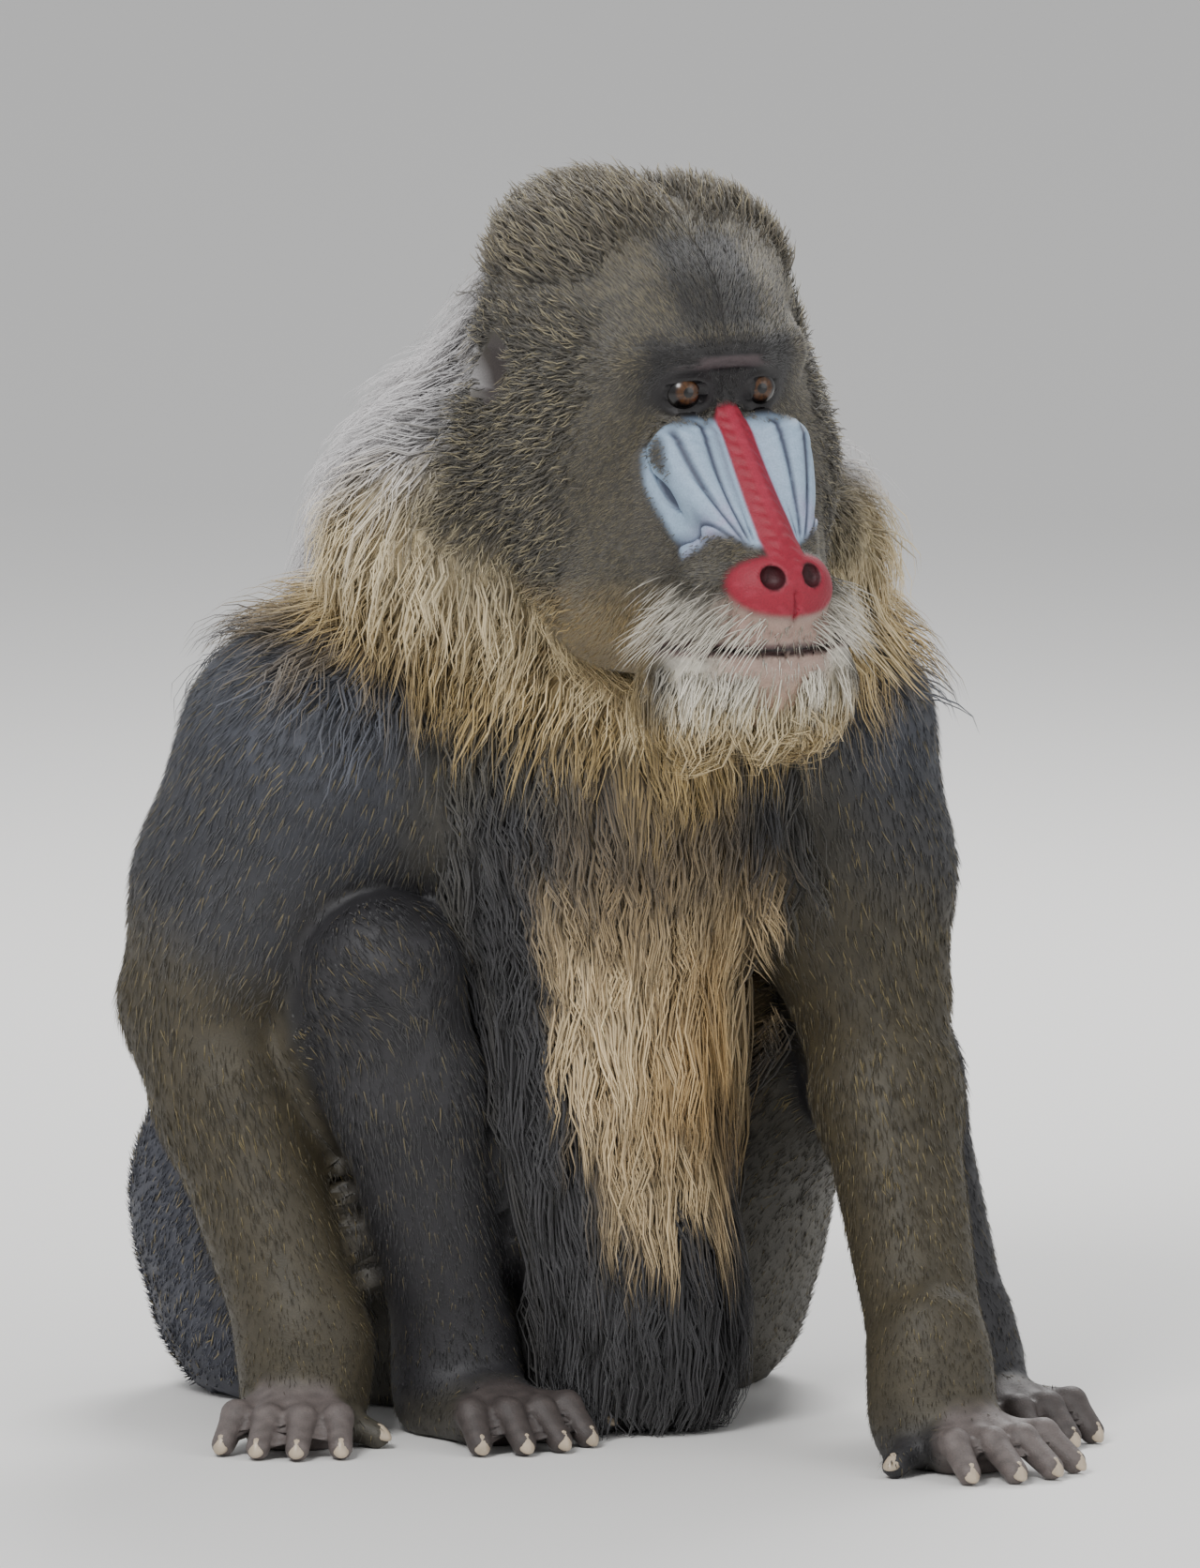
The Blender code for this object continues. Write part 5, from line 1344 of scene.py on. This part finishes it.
def bib_share(points: np.ndarray) -> np.ndarray:
    """The front of the chest below the mane."""
    offset = points - BODY_AXIS
    height = points[:, 2]
    return (clear_of_limbs(points) * ramp(offset @ BODY_FORWARD, 0.030, 0.060)
            * ramp(height, 0.270, 0.300) * ramp(0.455 - height, 0, 0.02)
            * ramp(0.115 - np.abs(offset @ BODY_LEFT), 0, 0.02)
            + 1e-12)


def belly_share(points: np.ndarray) -> np.ndarray:
    """The front of the belly down to the ground."""
    offset = points - BODY_AXIS
    height = points[:, 2]
    return (clear_of_limbs(points) * ramp(offset @ BODY_FORWARD, 0.010, 0.040)
            * ramp(height, 0.030, 0.060) * ramp(0.300 - height, 0, 0.03)
            * ramp(0.110 - np.abs(offset @ BODY_LEFT), 0, 0.02)
            + 1e-12)


# Materials
class Sockets:
    """A node socket with arithmetic that lays down math nodes."""

    def __init__(self, tree: bpy.types.NodeTree, socket: bpy.types.NodeSocket) -> None:
        """Wrap one socket of a node tree."""
        self.tree = tree
        self.socket = socket

    def math(self, kind: str, first: "Sockets | float", second: "Sockets | float") -> "Sockets":
        """Lay down one math node."""
        return nodes_of(self.tree, "ShaderNodeMath", {"operation": kind}, {0: first, 1: second}, 0)

    def __add__(self, other: "Sockets | float") -> "Sockets":
        """This socket plus another."""
        return self.math("ADD", self, other)

    def __radd__(self, other: "Sockets | float") -> "Sockets":
        """Another plus this socket."""
        return self.math("ADD", other, self)

    def __sub__(self, other: "Sockets | float") -> "Sockets":
        """This socket less another."""
        return self.math("SUBTRACT", self, other)

    def __rsub__(self, other: "Sockets | float") -> "Sockets":
        """Another less this socket."""
        return self.math("SUBTRACT", other, self)

    def __mul__(self, other: "Sockets | float") -> "Sockets":
        """This socket times another."""
        return self.math("MULTIPLY", self, other)

    def __rmul__(self, other: "Sockets | float") -> "Sockets":
        """Another times this socket."""
        return self.math("MULTIPLY", other, self)


def nodes_of(tree: bpy.types.NodeTree, kind: str, settings: dict, inputs: dict,
             output: int | str) -> Sockets:
    """Lay down one node, set it and join its inputs.

    Args:
        tree: the node tree.
        kind: the node's type.
        settings: the node's own settings.
        inputs: values or sockets for its inputs.
        output: which output to return.

    Returns:
        The wrapped output.
    """
    node = tree.nodes.new(kind)
    for name, value in settings.items():
        setattr(node, name, value)
    for name, value in inputs.items():
        if isinstance(value, Sockets):
            tree.links.new(value.socket, node.inputs[name])
        else:
            node.inputs[name].default_value = value
    return Sockets(tree, node.outputs[output])


@dataclass(frozen=True)
class Finish:
    """A finish that takes its colour from the stored colours."""

    name: str
    rough: float
    grain: float = 0.0
    grain_scale: float = 400.0
    relief: float = 0.0
    coat: float = 0.0
    sheen: float = 0.0

    def material(self) -> bpy.types.Material:
        """Make the material."""
        look = bpy.data.materials.new(self.name)
        look.use_nodes = True
        tree = look.node_tree
        shader = tree.nodes["Principled BSDF"]
        shader.inputs["Roughness"].default_value = self.rough
        shader.inputs["Coat Weight"].default_value = self.coat
        shader.inputs["Coat Roughness"].default_value = 0.05
        shader.inputs["Sheen Weight"].default_value = self.sheen
        colour = nodes_of(tree, "ShaderNodeAttribute", {"attribute_name": "coat"}, {}, "Color")
        if self.grain > 0 or self.relief > 0:
            place = nodes_of(tree, "ShaderNodeTexCoord", {}, {}, "Object")
            noise = nodes_of(tree, "ShaderNodeTexNoise", {},
                             {"Vector": place, "Scale": self.grain_scale, "Detail": 4.0}, "Fac")
            if self.grain > 0:
                value = (noise - 0.5) * (2 * self.grain) + 1.0
                colour = nodes_of(tree, "ShaderNodeHueSaturation", {},
                                  {"Value": value, "Color": colour}, "Color")
            if self.relief > 0:
                bump = nodes_of(tree, "ShaderNodeBump", {},
                                {"Height": noise, "Strength": self.relief, "Distance": 0.0008},
                                "Normal")
                tree.links.new(bump.socket, shader.inputs["Normal"])
        tree.links.new(colour.socket, shader.inputs["Base Color"])
        return look


SKIN_FINISH = Finish("skin", 0.58, 0.30, 900.0, 0.45, 0.0, 0.0)
FUR_FINISH = Finish("fur", 0.62, 0.0, 400.0, 0.0, 0.0, 0.15)
EYE_FINISH = Finish("eye", 0.24, 0.0, 400.0, 0.0, 0.0, 0.0)
NAIL_FINISH = Finish("nail", 0.35, 0.08, 900.0, 0.1, 0.0, 0.0)


@dataclass(frozen=True)
class Eye:
    """An eyeball with iris and pupil, its pole along the gaze."""

    side: str
    sign: int
    radius: float = EYE_RADIUS
    pupil_edge: float = 16.0
    iris_edge: float = 35.0
    ring_edge: float = 40.0

    def colours(self, places: np.ndarray) -> np.ndarray:
        """Pupil, streaked iris, dark ring and white, by the angle from the gaze."""
        angle = np.degrees(np.arccos(np.clip(places[:, 2] / self.radius, -1, 1)))
        around = np.arctan2(places[:, 1], places[:, 0])
        streak = 0.85 + 0.25 * np.sin(around * 23 + np.sin(around * 7) * 3)
        colours = np.tile(EYE_WHITE * 0.6, (len(places), 1))
        colours = laid(colours, EYE_RING, ramp(self.ring_edge - angle, -1.0, 1.0))
        colours = laid(colours, EYE_IRIS, ramp(self.iris_edge - angle, -3.0, 2.0))
        colours = colours * np.where(angle < 38, streak, 1)[:, None]
        return laid(colours, np.zeros(3) + 0.004, ramp(self.pupil_edge - angle, -1.0, 1.0))

    def build(self, look: bpy.types.Material) -> bpy.types.Object:
        """Make the eyeball and turn it to its gaze.

        Args:
            look: the eye's finish.

        Returns:
            The finished eye.
        """
        centre = skull(self.sign * EYE_SPACING / 2, -EYE_DEPTH, 0.0)
        bpy.ops.object.select_all(action="DESELECT")
        bpy.ops.mesh.primitive_uv_sphere_add(segments=48, ring_count=64, radius=self.radius,
                                             location=(0, 0, 0))
        eye = bpy.context.object
        eye.name = "eye_" + self.side
        gaze = unit(HEAD_FORWARD + UP * 0.02 - HEAD_LEFT * 0.12)
        turn = Vector((0, 0, 1)).rotation_difference(Vector(gaze)).to_matrix()
        places = coordinates(eye.data)
        colours = self.colours(places)
        places = places @ np.array(turn).T + centre
        eye.data.vertices.foreach_set("co", places.ravel())
        bpy.ops.object.shade_smooth()
        paint(eye, colours)
        eye.data.materials.clear()
        eye.data.materials.append(look)
        return eye


@dataclass(frozen=True)
class Nails:
    """All nails as one piece: a curved plate on the end of each finger and toe.

    The sizes are shares of the digit's radius.
    """

    width: float = 0.62
    length: float = 0.78
    thickness: float = 0.30
    arch: float = 0.22
    along: float = 0.42
    above: float = 0.42
    dip: float = 0.55

    def digits(self, limb: Digits) -> list[tuple]:
        """Last joint, tip and radius of each digit of a hand or foot."""
        found = []
        for index in range(4):
            _, middle, tip = digit_joints(limb, index)
            found.append((middle, tip, limb.radius * 0.85))
        knuckle, tip = thumb_joints(limb)
        found.append((knuckle, tip, limb.radius * 0.9))
        return found

    def plate(self, shape: np.ndarray, base: np.ndarray, tip: np.ndarray,
              radius: float) -> np.ndarray:
        """One nail's places, bent from a unit ball.

        Args:
            shape: the places of a unit ball.
            base: the digit's last joint.
            tip: the digit's tip.
            radius: the digit's radius.

        Returns:
            The nail's places.
        """
        ahead = unit(tip - base)
        across = unit(np.cross(UP, ahead))
        out = np.cross(ahead, across)
        centre = tip + ahead * radius * self.along + out * radius * self.above
        tilt = unit(ahead - out * self.dip)
        lifted = np.cross(tilt, across)
        height = shape[:, 2] * radius * self.thickness - shape[:, 0] ** 2 * radius * self.arch
        return (centre + np.outer(shape[:, 0] * radius * self.width, across)
                + np.outer(shape[:, 1] * radius * self.length, tilt) + np.outer(height, lifted))

    def build(self, look: bpy.types.Material) -> bpy.types.Object:
        """Make all nails in one mesh."""
        unit_ball = bmesh.new()
        bmesh.ops.create_uvsphere(unit_ball, u_segments=20, v_segments=12, radius=1.0)
        bmesh.ops.triangulate(unit_ball, faces=unit_ball.faces)
        shape = np.array([vertex.co[:] for vertex in unit_ball.verts])
        links = np.array([[vertex.index for vertex in face.verts] for face in unit_ball.faces])
        unit_ball.free()
        plates = [self.plate(shape, *digit) for limb in (*HANDS.values(), *FEET.values())
                  for digit in self.digits(limb)]
        faces = [links + index * len(shape) for index in range(len(plates))]
        places = np.concatenate(plates)
        places[:, 2] = np.maximum(places[:, 2], 0.0006)
        nails = mesh_from("nails", places, np.concatenate(faces))
        paint(nails, np.tile(NAIL, (len(places), 1)) * (0.9 + 0.15 * wander(places, 300))[:, None])
        nails.data.materials.append(look)
        bpy.ops.object.select_all(action="DESELECT")
        nails.select_set(True)
        bpy.context.view_layer.objects.active = nails
        bpy.ops.object.shade_smooth()
        return nails


@dataclass(frozen=True)
class Whiskers:
    """Long pale whiskers that stand out from the upper lip and droop."""

    count: int = 620
    shortest: float = 0.010
    longest: float = 0.032
    half_width: float = 0.00042
    droop: float = 0.45
    rings: int = 6
    seed: int = 77

    def share(self, points: np.ndarray) -> np.ndarray:
        """Where whiskers grow: on both sides of the upper lip."""
        side, forward, up, _, _ = head_frame(points)
        band = ramp(-up, 0.100, 0.112) * ramp(up, -0.142, -0.136) * ramp(forward, 0.0, 0.02)
        return band * ramp(np.abs(side), 0.010, 0.018) * (1 - bare_mask(points)) + 1e-12

    def build(self, maker: CoatMaker) -> None:
        """Grow the whiskers on the maker's skin."""
        chance = np.random.default_rng(self.seed)
        places, normals, flat = rooted(maker.skin, self.count, self.share, chance)
        side = np.sign((places - EYES_MIDDLE) @ HEAD_LEFT)[:, None]
        ways = rows_unit(side * HEAD_LEFT * 1.0 - UP * 0.5 - HEAD_FORWARD * 0.2
                         + chance.normal(0, 0.22, places.shape))
        lengths = chance.uniform(self.shortest, self.longest, len(places))
        shares = np.linspace(0, 1, self.rings)
        lines = places[:, None] - normals[:, None] * 0.001
        reach = shares[None, :, None] * lengths[:, None, None]
        lines = lines + (normals[:, None] * 0.28 + ways[:, None]) * reach
        lines = lines - UP * (shares ** 2)[None, :, None] * lengths[:, None, None] * self.droop
        coat = Coat("whiskers", Slot.BEARD, ("head",), len(places), 0.04, 0.0004, 0, self.rings,
                    self.seed)
        widths = np.full(len(places), self.half_width)
        hair = Hair(root=1.0, tip=1.2, fleck=tuple(BEARD_WHITE), fleck_share=1.0, uneven=0.05)
        maker.finish_piece(coat, lines, normals, flat, widths, hair, places, chance, 0.9)


@dataclass(frozen=True)
class Lamp:
    """A soft square lamp that shines on the middle of the animal."""

    name: str
    place: tuple
    power: float
    size: float

    def build(self) -> None:
        """Hang the lamp and turn it to the animal."""
        data = bpy.data.lights.new(self.name, "AREA")
        data.energy = self.power
        data.size = self.size
        lamp = bpy.data.objects.new(self.name, data)
        bpy.context.scene.collection.objects.link(lamp)
        lamp.location = self.place
        aim = Vector((0, 0, 0.4)) - Vector(self.place)
        lamp.rotation_euler = aim.to_track_quat("-Z", "Y").to_euler()


@dataclass(frozen=True)
class Studio:
    """A pale floor, soft lamps and the camera of the photograph."""

    floor_size: float = 160.0
    floor_tone: tuple = (0.80, 0.79, 0.77, 1)
    air_tone: tuple = (0.90, 0.91, 0.93, 1)
    air_light: float = 0.75
    camera_target: tuple = (-0.0022, 0, 0.384)
    camera_place: tuple = (-0.0022, -19.829, 2.995)
    lens: float = 769.2
    lamps: tuple = (Lamp("key", (-1.2, -2.6, 2.9), 105, 1.1),
                    Lamp("fill", (2.6, -2.0, 1.4), 26, 2.2),
                    Lamp("rim", (0.4, 2.4, 2.4), 80, 1.2))

    def build_floor(self) -> None:
        """Lay the floor that the animal sits on."""
        bpy.ops.object.select_all(action="DESELECT")
        bpy.ops.mesh.primitive_plane_add(size=self.floor_size, location=(0, 0, 0))
        floor = bpy.context.object
        floor.name = "floor"
        look = bpy.data.materials.new("floor")
        look.use_nodes = True
        shader = look.node_tree.nodes["Principled BSDF"]
        shader.inputs["Base Color"].default_value = self.floor_tone
        shader.inputs["Roughness"].default_value = 0.9
        floor.data.materials.append(look)

    def build_air(self) -> None:
        """Light the scene evenly from all around."""
        world = bpy.data.worlds.new("studio")
        world.use_nodes = True
        background = world.node_tree.nodes["Background"]
        background.inputs["Color"].default_value = self.air_tone
        background.inputs["Strength"].default_value = self.air_light
        bpy.context.scene.world = world

    def build_camera(self, shift: np.ndarray) -> None:
        """Place the camera at the photograph's height, far off with a long lens."""
        target = Vector(self.camera_target) + Vector(shift)
        place = Vector(self.camera_place) + Vector(shift)
        data = bpy.data.cameras.new("camera")
        data.lens = self.lens
        data.sensor_width = 36
        camera = bpy.data.objects.new("camera", data)
        bpy.context.scene.collection.objects.link(camera)
        camera.location = place
        camera.rotation_euler = (target - place).to_track_quat("-Z", "Y").to_euler()
        bpy.context.scene.camera = camera

    def build(self, shift: np.ndarray) -> None:
        """Set up floor, light and camera.

        Args:
            shift: how far the animal was moved to meet the frame.
        """
        self.build_floor()
        self.build_air()
        for lamp in self.lamps:
            lamp.build()
        self.build_camera(shift)


def head_scale(points: np.ndarray) -> np.ndarray:
    """Short tufts get shorter towards the face."""
    _, forward, up, _, _ = head_frame(points)
    near = ramp(forward, -0.090, -0.015) * ramp(-up, -0.06, -0.02)
    return 1.0 - 0.42 * near * ramp(up, -0.128, -0.104)


def body_scale(points: np.ndarray) -> np.ndarray:
    """Short tufts are longest on the back and rump and shortest at the wrists."""
    low = ramp(-points[:, 2], -0.20, -0.05)
    back = ramp(-((points - BODY_AXIS) @ BODY_FORWARD), 0.02, 0.10)
    tail = ramp(0.05 - np.linalg.norm(points - TAIL_TIP, axis=1), 0, 0.03)
    return (1.0 - 0.45 * low * (1 - back) + 0.15 * back) * (1 - 0.6 * tail)


FLESH = ("head", "jaw", "neck", "chest", "belly", "pelvis", "tail", "ear_right", "ear_left",
         "upper_arm_right", "upper_arm_left", "forearm_right", "forearm_left", "hand_right",
         "hand_left", "thigh_right", "thigh_left", "shin_right", "shin_left", "foot_right",
         "foot_left")


def grow_short_fur(maker: CoatMaker) -> None:
    """Short fur on the head, the face and the body."""
    fleck = tuple(HEAD_FLECK)
    gold_fleck = tuple(FOREARM_FLECK)
    head = Coat("head_fur", Slot.HEAD, ("head",), count=45000, length=0.0090, width=0.00052,
                lift=0.0031, rings=2, seed=11, sink=0.0008)
    hair = Hair(root=0.5, tip=1.3, fleck=fleck, fleck_share=0.42, uneven=0.22)
    maker.short(head, head_share, hair, head_scale)
    face = Coat("face_fur", Slot.HEAD, ("head",), count=31000, length=0.0080, width=0.00045,
                lift=0.0027, rings=2, seed=17, sink=0.0006)
    hair = Hair(root=0.5, tip=1.3, fleck=fleck, fleck_share=0.45, uneven=0.25)
    maker.short(face, face_share, hair, head_scale)
    families = (
        ("a", Slot.DARK, ("thigh_right", "thigh_left", "pelvis"), 0.07),
        ("b", Slot.ARM, ("upper_arm_right", "upper_arm_left", "forearm_right", "forearm_left"), 0.26),
        ("c", Slot.DARK, ("shin_right", "shin_left", "tail"), 0.07))
    for index, (letter, slot, nodes, fleck_share) in enumerate(families):
        body = Coat("body_fur_" + letter, slot, nodes, count=34000, length=0.0150 - 0.002 * index,
                    width=0.00072, lift=0.0042, rings=2, seed=12 + index, sink=0.0010)
        hair = Hair(root=0.55, tip=1.3, fleck=gold_fleck, fleck_share=fleck_share, uneven=0.2)
        maker.short(body, body_share, hair, body_scale)


def grow_long_hair(maker: CoatMaker) -> None:
    """Crest, cheeks, mane, beard, chest and belly."""
    fleck = tuple(HEAD_FLECK)
    plain = (0, 0, 0)
    crest = Coat("crest", Slot.HEAD, ("head",), count=4300, length=0.025, width=0.00056,
                 lift=0.009, rings=4, seed=21, clumps=700, hang=0.35)
    maker.long(crest, crest_share, Hair(0.55, 1.3, fleck, 0.35, 0.18), gather=0.25)
    cheek = Coat("cheek_hair", Slot.HEAD, ("head",), count=6600, length=0.017, width=0.00054,
                 lift=0.0040, rings=3, seed=22, clumps=700, hang=0.10)
    maker.long(cheek, cheek_share, Hair(0.6, 1.3, fleck, 0.4, 0.2), gather=0.2)
    for index, (letter, count) in enumerate((("a", 7900), ("b", 8600))):
        mane = Coat("mane_" + letter, Slot.MANE, ("neck",), count=count,
                    length=0.072 - 0.022 * index, width=0.00070, lift=0.019 - 0.009 * index,
                    rings=4 - index, seed=31 + index, clumps=900, hang=0.08)
        maker.long(mane, mane_share, Hair(0.72, 1.2, plain, 0.0, 0.12), gather=0.35)
    beard = Coat("beard_hair", Slot.BEARD, ("jaw",), count=3800, length=0.032, width=0.00055,
                 lift=0.005, rings=4, seed=41, clumps=120, hang=0.6)
    maker.long(beard, beard_share, Hair(0.75, 1.15, plain, 0.0, 0.12), gather=0.5)
    bib = Coat("chest_hair", Slot.CHEST, ("chest",), count=4500, length=0.060, width=0.00080,
               lift=0.008, rings=4, seed=51, clumps=110, hang=0.05)
    maker.long(bib, bib_share, Hair(0.6, 1.2, plain, 0.0, 0.18), gather=0.6)
    belly = Coat("belly_hair", Slot.BELLY, ("belly",), count=5700, length=0.095, width=0.00088,
                 lift=0.012, rings=5, seed=52, clumps=110, hang=0.10)
    maker.long(belly, belly_share, Hair(0.7, 1.15, plain, 0.0, 0.14), gather=0.65)


def tie_to_frame(skin: Skin, nails: bpy.types.Object, eyes: list, hairs: list,
                 shift: np.ndarray) -> None:
    """Move every piece to the frame's place, hang it from the root and hide the solids that it stands
    for.

    Args:
        skin: the skin of the whole body.
        nails: all nails.
        eyes: the right and the left eye.
        hairs: the pieces of the coat.
        shift: how far the animal is moved to meet the frame.
    """
    for piece in (skin.shown, nails, *eyes, *hairs):
        places = coordinates(piece.data) + shift
        piece.data.vertices.foreach_set("co", places.ravel())
        piece.data.update()
        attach(piece, "root")
    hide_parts(*FLESH)
    for (side, _), eye in zip(SIDES, eyes):
        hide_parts("eye_" + side)
    for piece in hairs:
        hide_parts(*piece["node_names"].split(","))
        del piece["node_names"]
        del piece["slot_name"]


def main() -> None:
    """Build the visual model and its stage, and tie them to the frame."""
    low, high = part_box("eye_right")
    shift = (np.array(low) + np.array(high)) / 2 - skull(-EYE_SPACING / 2, -EYE_DEPTH, 0.0)
    skin = build_skin()
    paint(skin.shown, skin_colour(skin.places))
    skin.shown.data.materials.append(SKIN_FINISH.material())
    maker = CoatMaker(skin, FUR_FINISH.material())
    grow_short_fur(maker)
    grow_long_hair(maker)
    Whiskers().build(maker)
    eye_look = EYE_FINISH.material()
    eyes = [Eye(side, sign).build(eye_look) for side, sign in SIDES]
    nails = Nails().build(NAIL_FINISH.material())
    tie_to_frame(skin, nails, eyes, maker.made, shift)
    Studio().build(shift)


if __name__ == "__main__":
    main()
